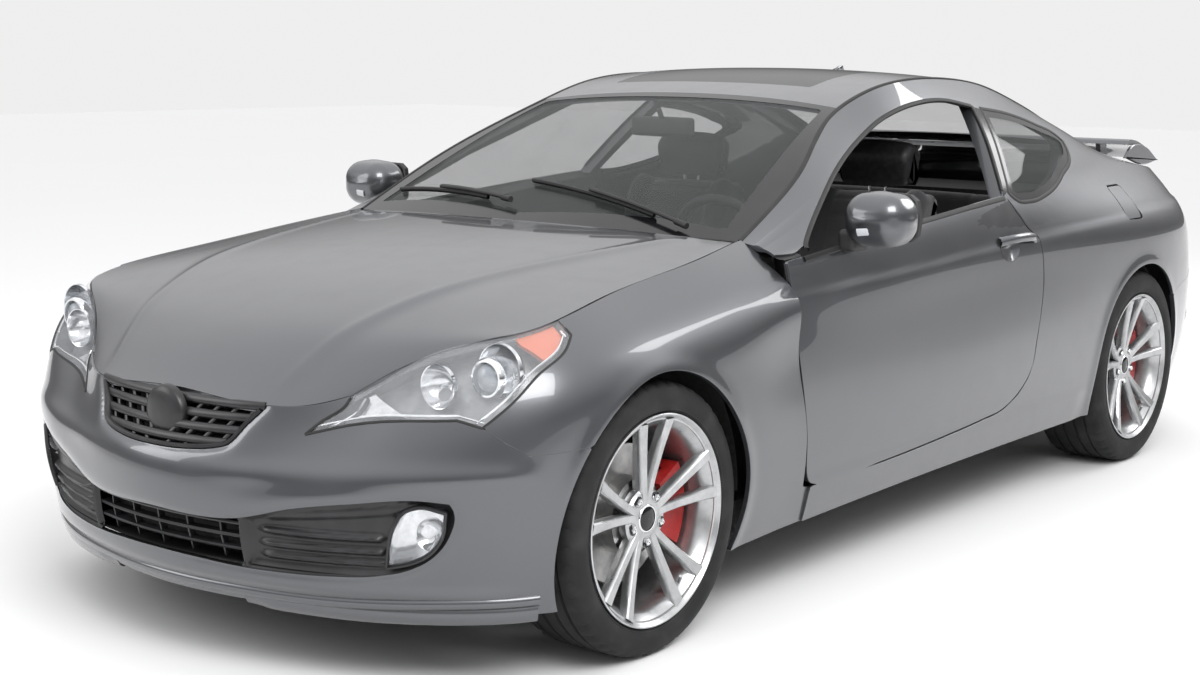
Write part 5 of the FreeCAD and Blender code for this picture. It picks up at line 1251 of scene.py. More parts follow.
def wheel_fittings():
    """Nuts, each on a gloss black cup that paints the shade of its pocket, and a plain domed cap in the
    middle.
    """
    nuts, pocket_shades = Shape(), Shape()
    for k in range(SPOKE_PAIRS):
        angle = 2 * math.pi * (k + 0.5) / SPOKE_PAIRS
        place = np.array([BOLT_RADIUS * math.sin(angle), 0, BOLT_RADIUS * math.cos(angle)])
        # A flush gloss black cup round each nut: painted shade for the pocket the nut sits in.
        cup = turned([(13.5, RIM_FACE + 33), (12, RIM_FACE + 30.9), (11, RIM_FACE + 31.2),
                      (3, RIM_FACE + 31.2)], 24, False)
        pocket_shades.add(cup.moved(np.eye(3), place))
        nut = turned([(2, RIM_FACE + 40), (5, RIM_FACE + 40), (8.5, RIM_FACE + 38), (9.5, RIM_FACE + 36),
                      (9.5, RIM_FACE + 31)], 6, False)
        nuts.add(nut.moved(np.eye(3), place))
    cap = turned([(0.5, RIM_FACE + 37), (14, RIM_FACE + 36.4), (25, RIM_FACE + 34.6), (30, RIM_FACE + 32.6),
                  (31.5, RIM_FACE + 30)], 48, False)
    ring = turned([(29.5, RIM_FACE + 34.4), (32, RIM_FACE + 34.6), (34, RIM_FACE + 32.5),
                   (33, RIM_FACE + 31)], 48)
    return nuts.add(ring), pocket_shades.add(cap)


def wheels():
    for end, axle, hub, width, diameter in (("f", FRONT_AXLE, FRONT_HUB, 225.0, 2 * FRONT_HUB),
                                            ("r", REAR_AXLE, REAR_HUB, 245.0, 2 * REAR_HUB)):
        place = np.array([axle, 0, hub])
        steady = np.eye(3)
        nuts, cap = wheel_fittings()
        parts = (("tyre", tyre_shape(width, diameter), RUBBER, "tyre", 30.0),
                 ("rim", rim_shape(width), ALLOY, "wheel_alloy", 32.0),
                 ("nuts", nuts, CHROME, "wheel_alloy", 30.0), ("cap", cap, GLOSS, "gloss_black", 30.0))
        for kind, shape, look, slot, sharp in parts:
            shape = shape.moved(steady, place)
            for hand, form in (("l", shape), ("r", shape.mirrored())):
                wheel = end + hand
                node = ["%s_%s" % (kind, wheel)] if kind in ("tyre", "rim") else []
                piece("%s_%s_detail" % (kind, wheel), form, "wheel_" + wheel, look, node, sharp)


wheels()

# Front: lamps and grilles

lamp_end = front_body.at_x(at(1700, 0, 0)[0], 0.66, front_middle + 1, front_end)
LAMP_S = (front_middle + 200, lamp_end)
LAMP_T = (0.42, 1.0)
LAMP_TOP = 0.996
LAMP_TUB = 54.0
PROJECTOR = np.array([1938.0, 748.0, 712.0])
HIGH_BEAM = np.array([2006.0, 652.0, 690.0])
FORWARD = np.array([[0, 1.0, 0], [-1, 0, 0], [0, 0, 1]])


def tub(shape, depth):
    """The walls and floor under a sheet, without the sheet."""
    whole = folded(shape, depth, 0.0)
    count = len(shape.faces)
    return Shape(whole.points, (), whole.faces[count:])


def lamp_sheet(inset, lift, extra=None, spacing=9.0):
    def keep(points):
        depth = inside(points, "lamp") - inset
        return depth if extra is None else np.minimum(depth, extra(points))
    return sheet(front_body, LAMP_S, LAMP_T, keep, None, lift, spacing)


def outer_end(points):
    """The amber end of the lamp, outside the projector's bowl."""
    bowl = np.hypot(points[:, 0] - PROJECTOR[0] + 2, points[:, 2] - PROJECTOR[2] - 18) - 82
    return np.minimum(bowl, 1880 - points[:, 0])


def headlamps():
    pair("headlamp_lens", folded(lamp_sheet(1.6, -0.2), 3.0, 0.3), "body", [LAMP_GLASS, LAMP_GLASS],
         ("headlamps", "headlamps"))
    pair("headlamp_tub", tub(lamp_sheet(2.2, -3.6), LAMP_TUB), "body", LAMP_GREY)
    pair("headlamp_amber", folded(lamp_sheet(12.0, -14.0, outer_end), 12.0, 0.5), "body",
         [AMBER_LENS, AMBER_LENS])
    inner_end = lamp_sheet(13.0, -24.0, lambda points: points[:, 0] - 2078)
    pair("headlamp_inner_light", folded(inner_end, 14.0, 0.5), "body", [REFLECTOR, REFLECTOR])
    bowl = [(16, -52), (32, -46), (46, -32), (56, -12), (60, 2), (62, 3), (62, -8)]
    main = turned(bowl, 64, False).moved(FORWARD, PROJECTOR - (8, -16, -16))
    high = turned([(5, -40), (20, -36), (34, -25), (45, -8), (49, 6), (51, 7), (51, -4)], 64, False)
    high = high.moved(FORWARD, HIGH_BEAM)
    bulb = turned([(0.5, -4), (5, -5), (6, -12), (6, -38)], 20, False).moved(FORWARD, HIGH_BEAM)
    pair("headlamp_bowls", main.add(high).add(bulb), "body", REFLECTOR)
    ring = turned([(34, 14), (37, 22), (42, 22), (46, 16), (47, 2), (47, -36), (34, -36)], 64)
    pair("projector_ring", ring.moved(FORWARD, PROJECTOR), "body", CHROME)
    ball = turned([(0.5, 29), (10, 28), (20, 24.5), (28, 19), (33, 12), (34, 8)], 48, False)
    pair("projector_lens", ball.moved(FORWARD, PROJECTOR), "body", LENS_BALL)
    points, normals = on_outline(front_body, "lamp", LAMP_S, LAMP_T, 0.4, LAMP_TOP)
    seal = ((-3.6, -3), (-3.6, 0.8), (-1.4, 2.0), (1.6, 1.8), (3.2, -0.5))
    pair("headlamp_seal", ribbon(points, normals, seal, False), "body", SEAL)
    points, normals = on_outline(front_body, "lamp", LAMP_S, LAMP_T, -11.0, LAMP_TOP - 0.012)
    trim = ((-2.4, -9), (-2.4, -6), (0, -4.6), (2.4, -6), (2.4, -9))
    pair("headlamp_trim", ribbon(points, normals, trim, False), "body", CHROME)


def front_path(height, low, high, depth, count=40):
    """Points across the front at a height, a depth behind the skin, with the outward normals."""
    targets = np.stack([np.linspace(low, high, count), np.full(count, float(height))], 1)
    s, t = front_body.locate(targets, [1, 2], (front_middle - 1000, front_middle + 1000), (0, 1))
    normals = front_body.outward(s, t)
    return front_body.points(s, t) - normals * depth, normals


GRILLE_S = (front_middle - 1050, front_middle + 1050)
BAR = ((-10, -18), (-10, -3), (-7, 0), (7, 0), (10, -3), (10, -18))
FIN_STEP, FIN_LEAN = 56.0, 24.0


def grilles():
    # Near-black sheets a little behind the openings, and a shelf in the lower one: painted shade for the
    # depth behind the grille.
    back = sheet(front_body, GRILLE_S, (0.5, 1.0), lambda points: inside(points, "upper_grille") + 6,
                 None, -46, 14.0)
    back.add(sheet(front_body, GRILLE_S, (0, 0.7), lambda points: inside(points, "lower_grille") + 26,
                   None, -75, 20.0))
    shelf = np.array([front_path(264, -640, 640, depth, 60)[0] for depth in (14.0, 50.0, 90.0, 130.0)])
    shelf[1:, :, 2] = shelf[:1, :, 2] - 8
    back.add(lattice(shelf))
    piece("grille_shade_sheets", back, "body", SHADE_BLACK, ["upper_grille", "lower_grille"])
    bars = Shape()
    for height, reach in ((544, 214), (573, 246), (602, 272)):
        points, normals = front_path(height, -reach, reach, 11.0)
        bars.add(ribbon(points, normals, BAR, False))
    for low, high, reach in ((518, 544, 176), (544, 573, 214), (573, 602, 246), (602, 629, 270)):
        for y in np.arange(FIN_STEP / 2, reach, FIN_STEP):
            for sign in (-1, 1):
                targets = np.array([[sign * y, low], [sign * (y + FIN_LEAN), high]])
                s, t = front_body.locate(targets, [1, 2], (front_middle - 500, front_middle + 500), (0.4, 1))
                normals = front_body.outward(s, t)
                points = front_body.points(s, t) - normals * 15
                bars.add(ribbon(points, normals, ((-5, -18), (-5, -2), (0, 0), (5, -2), (5, -18)), False))
    edge = ((-9, -20), (-8, -5), (-4, -1.5), (2, -2.5), (5, -10), (5, -20))
    grille_s = (front_middle - 500, front_middle + 500)
    points, normals = on_outline(front_body, "upper_grille", grille_s, (0.4, 1.0), -5.0, 0.985)
    bars.add(ribbon(points, normals, edge, False))
    points, normals = front_path(629, -296, 296, 5.0)
    bars.add(ribbon(points, normals, BAR, False))
    pad, normal = front_path(588, 0, 1, 8.0, 2)
    round_pad = turned([(0.5, 12), (28, 11), (50, 8), (62, 3), (66, -2), (66, -18)], 64, False)
    bars.add(round_pad.moved(FORWARD, pad[0]))
    piece("upper_grille_bars", bars, "body", GRILLE_BLACK, sharp=50.0)
    bars = Shape()
    for height in (292, 326, 358):
        points, normals = front_path(height, -264, 264, 26.0)
        bars.add(ribbon(points, normals, ((-3.5, -22), (-4, -2), (0, 0), (4, -2), (3.5, -22)), False))
    for y in np.arange(-204, 210, 102.0):
        s, t = front_body.locate(np.array([[y, 262.0], [y, 318.0], [y, 372.0]]), [1, 2],
                                 (front_middle - 500, front_middle + 500), (0, 0.6))
        normals = front_body.outward(s, t)
        bars.add(ribbon(front_body.points(s, t) - normals * 30, normals,
                        ((-2.5, -18), (-2.5, -1), (0, 0), (2.5, -1), (2.5, -18)), False))
    piece("lower_grille_bars", bars, "body", GRILLE_BLACK, sharp=50.0)


def pocket_raise(points):
    """Three ribs across the pocket, and a smooth slope along its top."""
    across = np.abs(points[:, 1])
    fade = soft_step(across, 300, 345) * (1 - soft_step(across, 600, 622))
    ribs = sum(np.exp(-((points[:, 2] - height) / 6.5) ** 2) for height in (352, 318, 288))
    edge = inside(points, "lower_grille")
    slope = 24.0 * np.exp(-np.maximum(edge, 0) / 9.0)
    upper = 14.0 * soft_step(points[:, 2] - (365 + 0.12 * (across - 300)), 0, 22)
    post = 22.0 * np.exp(-((across - 275) / 13.0) ** 2)
    return -34.0 + np.maximum.reduce([15.0 * ribs * fade, slope, upper, post])


def fog_pockets():
    def keep(points):
        return np.minimum.reduce([inside(points, "lower_grille") + 2.5, points[:, 1] - 262,
                                  -inside(points, "fog") - 1])
    pocket = sheet(front_body, (front_middle + 200, front_middle + 1050), (0, 0.72), keep, pocket_raise,
                   0.0, 7.0)
    pair("fog_pocket", folded(pocket, 6.0, 0.5, False), "body", GRILLE_BLACK)
    fog_s = (front_middle + 500, front_middle + 1000)
    glass = sheet(front_body, fog_s, (0.02, 0.66), lambda points: inside(points, "fog") - 2, None, -14.0, 8.0)
    pair("fog_lens", folded(glass, 3.0, 0.5), "body", [LAMP_GLASS, LAMP_GLASS],
         ("fog_lamps", "fog_lamps"))
    under = sheet(front_body, fog_s, (0.02, 0.66), lambda points: inside(points, "fog") - 4, None, -18.0, 8.0)
    pair("fog_reflector", tub(under, 34.0), "body", REFLECTOR)
    points, normals = on_outline(front_body, "fog", fog_s, (0.0, 0.7), 0.5)
    rim = ((-5, -34), (-5, -10), (-2.5, -6), (2, -7), (3.5, -14))
    pair("fog_rim", ribbon(points, normals, rim), "body", GRILLE_BLACK)
    lamp = turned([(0.5, -24), (12, -22), (24, -14), (31, -2), (33, 0), (33, -10)], 48, False)
    aim = np.array([[0.3, 0.95, 0], [-0.95, 0.3, 0], [0, 0, 1.0]])
    pair("fog_bowl", lamp.moved(aim, np.array([2072.0, 682.0, 366.0])), "body", CHROME)


LENS_BALL = lens("projector_ball", (0.3, 0.33, 0.36), 0.85)
# The grille's shadow colour: near-black, painted shade for the depths behind the grille openings and inside
# the tail pipes.
SHADE_BLACK = plastic("grille_shadow", (0.003, 0.003, 0.003), (0.006, 0.006, 0.006), 0.8)
headlamps()
grilles()
fog_pockets()

# Mirrors, handles, mouldings, wipers


def mirrors():
    shell = rounded_block((534, 868, 918), (690, 1048, 1060), 58, 6, 6.0)
    pair("mirror_shell", shell, ("door_l", "door_r"), PAINT, ("mirror_l", "mirror_r"), 60.0)
    bezel = extruded([(888, 938), (905, 924), (1010, 926), (1030, 942), (1036, 990), (1026, 1038),
                      (1004, 1054), (910, 1052), (888, 1036), (880, 990)], 522, 546, 0, 4.0)
    pair("mirror_bezel", bezel, ("door_l", "door_r"), BLACK)
    glass = extruded([(896, 946), (912, 934), (1004, 935), (1021, 948), (1027, 990), (1018, 1032),
                      (999, 1044), (916, 1043), (897, 1030), (890, 990)], 519.5, 525, 0, 1.0)
    pair("mirror_glass", glass, ("door_l", "door_r"), MIRROR_GLASS)
    strip = np.array([(688, 930), (687, 960), (677, 990), (655, 1015), (625, 1034)], float)
    points = np.column_stack([strip[:, 0], strip[:, 1], np.linspace(958, 974, 5)])
    normals = unit(points - np.array([600, 930, 985.0]))
    profile = ((-11, -6), (-10, 1.5), (-6, 3), (6, 3), (10, 1.5), (11, -6))
    lamp = ribbon(points + normals * 1.0, normals, profile, False)
    pair("mirror_indicator", lamp, ("door_l", "door_r"), WHITE_LENS)
    foot = rounded_block((572, 852, 900), (664, 905, 960), 14, 3)
    pair("mirror_foot", foot, ("door_l", "door_r"), BLACK)


def on_side(places, lift=0.0, t_range=(0, RAIL)):
    """Points and normals of the body side at places seen from the side."""
    s, t = side.locate(real(places), [0, 2], SIDE_S, t_range)
    normals = side.outward(s, t)
    return side.points(s, t) + normals * lift, normals


def mouldings():
    """Black seals round the side windows, and a moulding along each roof rail."""
    strip = ((-7, -6), (-7, 1.5), (-4, 3.2), (4, 3.2), (7, 1.5), (7, -6))
    points, normals = on_outline(side, "quarter_window", SIDE_S, (0.8, RAIL), 1.0)
    pair("quarter_seal", ribbon(points, normals, strip), "body", SEAL)
    outline = OUTLINES["door_window"][0]
    belt = outline[:, 1] < np.interp(outline[:, 0], (-340, 860), (1000, 905))
    points, normals = on_outline(side, "door_window", SIDE_S, (0.8, RAIL), 1.0)
    frame_part = np.roll(points, -int(np.argmax(~belt)), 0)
    frame_normals = np.roll(normals, -int(np.argmax(~belt)), 0)
    count = int((~belt).sum())
    pair("door_frame_seal", ribbon(frame_part[:count], frame_normals[:count], strip, False), "body", SEAL)
    line = np.array([(845, 892), (700, 905), (480, 926), (200, 949), (-60, 969), (-330, 986)], float)
    dense = np.column_stack([np.linspace(840, -335, 60), np.interp(np.linspace(840, -335, 60), line[::-1, 0],
                                                                   line[::-1, 1])])
    points, normals = on_side(dense, 0.0, (0.8, RAIL))
    profile = ((-8, -8), (-8, 2.5), (-4, 5), (5, 5), (8, 2), (8, -8))
    pair("belt_moulding", ribbon(points, normals, profile, False), ("door_l", "door_r"), SEAL)
    s = np.linspace(top.s[0] + 4, top.s[LID_FRONT], 90)
    t = np.full(len(s), -0.995)
    points, normals = top.points(s, t), top.outward(s, t)
    profile = ((-7, -2), (-6, 2.4), (0, 4), (6, 2.4), (7, -2))
    pair("roof_moulding", ribbon(points, normals, profile, False), "body", SEAL)


def handle():
    """A pull handle over a round cup, on the door."""
    centre, normal = on_side([(-300, 790 + 28)], 0.0)
    points, normals = on_side([(-232, 858), (-290, 862), (-350, 862), (-410, 859), (-462, 852)], 0.0)
    lift = np.array([4.0, 24, 30, 26, 5])[:, None]
    width = ((-13, -5), (-14, 0), (-10, 6), (0, 8.5), (10, 6), (14, 0), (13, -5), (0, -7))
    fine = basis(np.arange(5), np.linspace(0, 4, 30))
    grip = ribbon(fine @ (points + normals * lift), unit(fine @ normals), width, False)
    pair("door_handle", grip, ("door_l", "door_r"), PAINT, sharp=80.0)
    angle = np.linspace(0, 2 * np.pi, 48, endpoint=False)
    rows, tilts = [], []
    for share in (1.0, 0.94, 0.85, 0.7, 0.5, 0.3, 0.1):
        ring = [(-292 + 62 * share * math.cos(a), 836 + 40 * share * math.sin(a)) for a in angle]
        place, up = on_side(ring, SKIN + 0.6 + 3.4 * side_crease_share(ring))
        inward = unit(place.mean(0) - place)
        slope = 0.0 if share > 0.97 else 0.85 * share
        rows.append(place)
        tilts.append(unit(up + inward * slope))
    cup = lattice(np.array(rows), False, True)
    cup.normals = np.array(tilts).reshape(-1, 3)
    pair("handle_cup", outward_winding(cup), ("door_l", "door_r"), PAINT)


def side_crease_share(ring):
    places = real(ring)
    points = np.column_stack([places[:, 0], np.full(len(places), 900.0), places[:, 1]])
    return (side_crease(points) / 3.4)[:, None]


def wipers():
    for name, foot, tip in (("wiper_l", (1000, 560), (905, -60)), ("wiper_r", (1022, -40), (900, -600))):
        share = np.linspace(0, 1, 16)
        y = foot[1] + (tip[1] - foot[1]) * share
        x = foot[0] + (tip[0] - foot[0]) * share - 55
        s, t = top.locate(np.stack([x, y], 1), [0, 1], (0, top.s[1]), (-1, 1))
        normals = top.outward(s, t)
        on_glass = top.points(s, t)
        arm = ribbon((on_glass + normals * 24)[:10], normals[:10],
                     ((-7, -3), (-7, 2), (-4, 5), (4, 5), (7, 2), (7, -3)), False)
        arm.add(rod(on_glass[:2] + normals[:2] * 21, 9, 16))
        blade = ribbon(on_glass[3:] + normals[3:] * 7, normals[3:],
                       ((-1.5, -6), (-6, 4), (-3, 9), (3, 9), (6, 4), (1.5, -6)), False)
        piece(name, arm.add(blade), "body", BLACK, ["wipers"] if name == "wiper_l" else [])


BORDER_LIFT = 0.6


def glass_borders():
    """The black printed edges of the glass, just over each pane."""
    def round_windshield(points):
        reach = np.abs(points[:, 1]) - np.interp(points[:, 0], (200, 920), (524, 650))
        foot = points[:, 0] - np.interp(np.abs(points[:, 1]), (0, 700), (1000, 880))
        head = 232 - points[:, 0]
        return np.maximum.reduce([reach, foot, head])
    front = sheet(top, (0, top.s[HEADER] - 1), (-RAIL_END, RAIL_END), round_windshield, None, BORDER_LIFT,
                  14.0)
    piece("windshield_border", front, "body", GLOSS)
    rear = sheet(top, (top.s[REAR_HEADER] + 1, top.s[LID_FRONT]), (-RAIL_END, RAIL_END),
                 lambda points: np.maximum.reduce([np.abs(points[:, 1]) - 512, points[:, 0] + 945,
                                                   -1450 - points[:, 0]]), None, BORDER_LIFT, 14.0)
    piece("rear_window_border", rear, "body", GLOSS)
    quarter_rim = sheet(side, SIDE_S, (0.86, RAIL),
                        lambda points: np.minimum(inside(points, "quarter_window") - 1,
                                                  26 - inside(points, "quarter_window")), None, 0.8, 9.0)
    pair("quarter_border", quarter_rim, "body", GLOSS)


def fin():
    """The aerial's fin on the roof."""
    outline = [(-640, 0), (-690, 12), (-728, 34), (-752, 38), (-762, 0)]
    base = top.point(*[value[0] for value in top.locate(np.array([[-700.0, 0.0]]), [0, 1],
                                                        (top.s[5], top.s[7]), (-0.2, 0.2))])
    shape = extruded(smooth([(x, base[2] - 8 + z) for x, z in outline], 6.0), -16, 16, 1, 6.0)
    taper = 1 - 0.85 * np.clip((shape.points[:, 2] - base[2] + 6) / 40, 0, 1)
    shape.points[:, 1] *= taper
    piece("aerial_fin", shape, "body", PAINT, sharp=50.0)


mirrors()
mouldings()
handle()
wipers()
glass_borders()
fin()


# Rear: lamps, plate recess, wing, tail pipes, and the lips under both bumpers

WING = [(-1900, 1090), (-1913, 1103), (-1975, 1105), (-2060, 1085), (-2178, 1035), (-2174, 1026),
        (-2060, 1068), (-1965, 1086)]
WING_END = [(-1873, 1041), (-1926, 1084), (-1985, 1090), (-2067, 1075), (-2189, 1020), (-2051, 1007)]
WING_POST = [(-1960, 1095), (-2030, 1084), (-2045, 1000), (-1990, 1000)]
WING_SPAN, WING_WALL = 585.0, 15.0
POST_PLACE = (432, 450)
PIPE_HEIGHT, PIPE_OUT, PIPE_END = 300.0, 330.0, -2290.0


def on_rear(s, t, depth=0.0):
    s = np.asarray(s, float)
    t = np.broadcast_to(t, s.shape)
    normals = rear_body.outward(s, t)
    return rear_body.points(s, t) - normals * depth, normals


def tail_lamps():
    ends, low, high = (tail_start, tail_end), TAIL_T[0], TAIL_T[1]
    lens_sheet = sheet(rear_body, ends, TAIL_T, None, None, -0.6, 8.0)
    pair("tail_lamp_lens", folded(lens_sheet, 4.0, 0.4), "body", [RED_LENS, RED_LENS],
         ("tail_lamps", "tail_lamps"))
    under = sheet(rear_body, (ends[0] + 5, ends[1] - 5), (low + 0.006, high - 0.006), None, None, -6.0, 10.0)
    pair("tail_lamp_tub", tub(under, 34.0), "body", GLOSS)
    strip = sheet(rear_body, (ends[0] + 30, ends[1] - 12), (low + 0.02, low + 0.05), None, None, 0.2, 7.0)
    pair("tail_lamp_clear", folded(strip, 1.6, 0.4), "body", [WHITE_LENS, WHITE_LENS])
    tubes = Shape()
    profile = ((-6, -9), (-6.5, -2), (-4, 1.5), (0, 2.6), (4, 1.5), (6.5, -2), (6, -9))
    for share in (0.52, 0.82):
        points, normals = on_rear(np.linspace(ends[0] + 16, ends[1] - 16, 40), low + (high - low) * share,
                                  -0.6)
        tubes.add(ribbon(points, normals, profile, False))
    pair("tail_lamp_tubes", tubes, "body", LIT_RED)


def rear_trim():
    def recess(points):
        return np.minimum(272 - np.abs(points[:, 1]), 75 - np.abs(points[:, 2] - 560))
    middle = (rear_middle - 420, rear_middle + 420)
    plate = sheet(rear_body, middle, (0.1, 0.735), recess, None, -15.0, 14.0)
    piece("plate_recess", folded(plate, 3.0, 0.4), "body", [PAINT, UNDERBODY])

    def lower(points):
        pipes = np.hypot(np.abs(points[:, 1]) - PIPE_OUT, points[:, 2] - PIPE_HEIGHT) - 58
        return np.minimum.reduce([338 - 0.03 * np.abs(points[:, 1]) - points[:, 2],
                                  690 - np.abs(points[:, 1]), pipes])
    wide = (rear_middle - 900, rear_middle + 900)

    def rib(points):
        across = (np.abs(points[:, 1]) % 180 - 90) / 7.0
        return 3.0 * np.exp(-across ** 2) * (points[:, 2] < 330)
    ribs = sheet(rear_body, wide, (0.0, 0.45), lower, rib, 2.4, 9.0)
    piece("rear_diffuser", folded(ribs, 3.0, 0.8, False), "body", BLACK)
    for side_name, y in (("l", PIPE_OUT), ("r", -PIPE_OUT)):
        place = np.array([PIPE_END, y, PIPE_HEIGHT])
        tip = turned([(39, 60), (39, -12), (40.5, -15), (43.5, -16), (46, -13), (46, 120), (43, 120)], 64)
        piece("tail_pipe_" + side_name, tip.moved(FORWARD, place), "body", CHROME)
        # A near-black disc just inside each tip: painted shade for the depth of the pipe.
        shade_disc = turned([(0.5, -1.2), (18, -1.2), (34, -1.4), (39.5, -1.8), (39.5, 2)], 48, False)
        piece("tail_pipe_shade_disc_" + side_name, shade_disc.moved(FORWARD, place), "body", SHADE_BLACK)


def wing():
    blade = extruded(smooth(real(WING), 9.0, 50.0), -WING_SPAN, WING_SPAN, 1, 0.6)
    end = extruded(smooth(real(WING_END), 9.0, 60.0), WING_SPAN, WING_SPAN + WING_WALL, 1, 3.5)
    post = extruded(real(WING_POST), *POST_PLACE, 1, 2.0)
    for part in (end, post):
        blade.add(part).add(part.mirrored())
    piece("wing", blade, "trunk_lid", PAINT, ["spoiler"], 30.0)


def lips():
    """The painted lip under the front bumper, and a lower valance on each side below it."""
    end = front_body.at_x(FRONT_AXLE + FRONT_HUB + ARCH_GAP + 14, 0.05, front_middle + 1, front_end)
    s = np.linspace(2 * front_middle - end, end, 150)
    t_values = np.full(len(s), 0.055)
    lip = ribbon(front_body.points(s, t_values), front_body.outward(s, t_values),
                 ((-13, -10), (-14, 0), (-8, 7), (4, 9), (12, 4), (14, -10)), False)
    piece("front_lip", lip, "body", PAINT, sharp=50.0)
    s = np.linspace(front_middle + 250, end, 70)
    t_values = np.full(len(s), 0.01)
    reach = 8 * soft_step(np.linspace(0, 1, 70), 0, 0.12)[:, None]
    normals = front_body.outward(s, t_values)
    valance = ribbon(front_body.points(s, t_values) + normals * (reach - 6) - (0, 0, 6), normals,
                     ((-20, -14), (-21, -2), (-14, 4), (10, 4), (18, -1), (18, -14)), False)
    pair("front_valance", valance, "body", PAINT, sharp=50.0)


def corner_covers():
    """Black covers in the gaps between the hood, fender, pillar foot and door."""
    def above_door(points):
        return np.minimum.reduce([points[:, 2] - 900, 952 - points[:, 2], points[:, 0] - 838])
    foot = sheet(side, (0, 130), (0.8, 1.3), above_door, None, -5.0, 8.0)
    pair("pillar_foot_cover", foot, "body", BLACK)
    rear_top = sheet(front_body, (front_end - 120, front_end), (0.86, 1.0),
                     lambda points: points[:, 2] - 900, None, -6.0, 8.0)
    pair("fender_top_cover", rear_top, "body", BLACK)


def b_pillars():
    cover = sheet(side, SIDE_S, (0.86, RAIL), lambda points: inside(points, "b_pillar"), None,
                  SKIN + 0.8, 8.0)
    pair("b_pillar_cover", folded(cover, 2.0, 0.6, False), "body", GLOSS)


# Cabin: seats, wheel, dashboard and mirror

CUSHION = [(-130, 300), (330, 330), (350, 420), (300, 455), (60, 420), (-140, 400)]
BACK = [(-140, 330), (-60, 410), (-230, 780), (-330, 980), (-400, 980), (-420, 900), (-300, 560), (-250, 330)]
HEAD = [(-345, 1000), (-330, 1120), (-370, 1150), (-430, 1130), (-425, 1000)]
REAR_CUSHION = [(-860, 208), (-480, 208), (-470, 420), (-560, 455), (-820, 400), (-872, 430)]
REAR_BACK = [(-868, 402), (-800, 396), (-930, 860), (-960, 935), (-1060, 935), (-1070, 640), (-900, 442),
             (-868, 434)]
WHEEL_CENTRE = np.array([470.0, 370, 850])
WHEEL_TILT = math.radians(25)


def cushion(outline, low, high, facing, radius=26.0, crown=9.0, seams=(), pleats=0.0, bolster=0.0):
    """A padded form: an outline as its section, round ends, seams along it and pleats across it."""
    section = smooth(real(outline), 9.0, 75.0)
    run = unit(np.roll(section, -1, 0) - np.roll(section, 1, 0))
    inward = np.stack([-run[:, 1], run[:, 0]], 1)
    if depth_inside(section + inward * 2, section).mean() < 0:
        inward = -inward
    front = soft_step(-(inward @ unit(np.array(facing, float))), 0.2, 0.7)
    length = np.concatenate([[0], np.cumsum(np.linalg.norm(np.diff(section, axis=0), axis=1))])
    half, middle = (high - low) / 2, (high + low) / 2
    rows = []
    for out in half * np.sin(np.linspace(-math.pi / 2, math.pi / 2, 61)):
        share = abs(out) / half
        past = max(0.0, (abs(out) - (half - radius)) / radius)
        edge = radius * (1 - math.sqrt(max(0.0, 1 - past * past)))
        inset = np.full(len(section), edge + crown * share * share)
        for seam in seams:
            inset += 6.0 * math.exp(-((abs(out) - seam) / 5.0) ** 2)
        if pleats:
            wave = np.abs(((length / pleats) % 1.0) - 0.5) * pleats
            panel = soft_step(np.array([seams[0] - abs(out)]), 0, 14)[0] if seams else 1.0
            inset += 4.0 * np.exp(-(wave / 4.5) ** 2) * front * panel
        inset -= bolster * front * float(soft_step(np.array([share]), 0.55, 0.78)[0]) * (1 - past) ** 0.5
        flat = section + inward * inset[:, None]
        rows.append(np.insert(flat, 1, middle + out, axis=1))
    shape = lattice(np.array(rows), False, True)
    count = len(section)
    last = (len(rows) - 1) * count
    shape.faces += [tuple(range(count)), tuple(range(last + count - 1, last - 1, -1))]
    shape.slots += [0, 0]
    return shape


def seats():
    forms = (("seat_cushion", cushion(CUSHION, 150, 600, (0, 1), 30, 8, (128,), 62.0, 24.0), SEAT_CLOTH),
             ("seat_back", cushion(BACK, 162, 588, (1, 0.4), 28, 8, (122,), 64.0, 26.0), SEAT_CLOTH),
             ("head_rest", cushion(HEAD, 245, 505, (1, 0), 24, 10, (), 0.0, 0.0), SEAT_LEATHER))
    for name, form, look in forms:
        for end, shape in (("l", form), ("r", form.mirrored())):
            piece(name + "_" + end, shape, "body", look, ["front_seats"], 60.0)
    for name, outline, reach, facing in (("rear_cushion", REAR_CUSHION, 598, (0.2, 1)),
                                         ("rear_back", REAR_BACK, 498, (1, 0.3))):
        form = cushion(outline, -reach, reach, facing, 28, 6, (120, 420), 0.0, 0.0)
        piece(name, form, "body", SEAT_CLOTH, ["rear_seat"], 60.0)
    base = Shape()
    for y in (196, 520):
        base.add(rounded_block((-110, y, 212), (260, y + 34, 340), 8, 3))
    pair("seat_rails", base, "body", BLACK)
    rods = Shape()
    for y in (345, 405):
        rods.add(rod(np.array([(-372.0, y, 955), (-380.0, y, 1030)]), 6.0, 16))
    pair("head_rest_rods", rods, "body", CHROME)


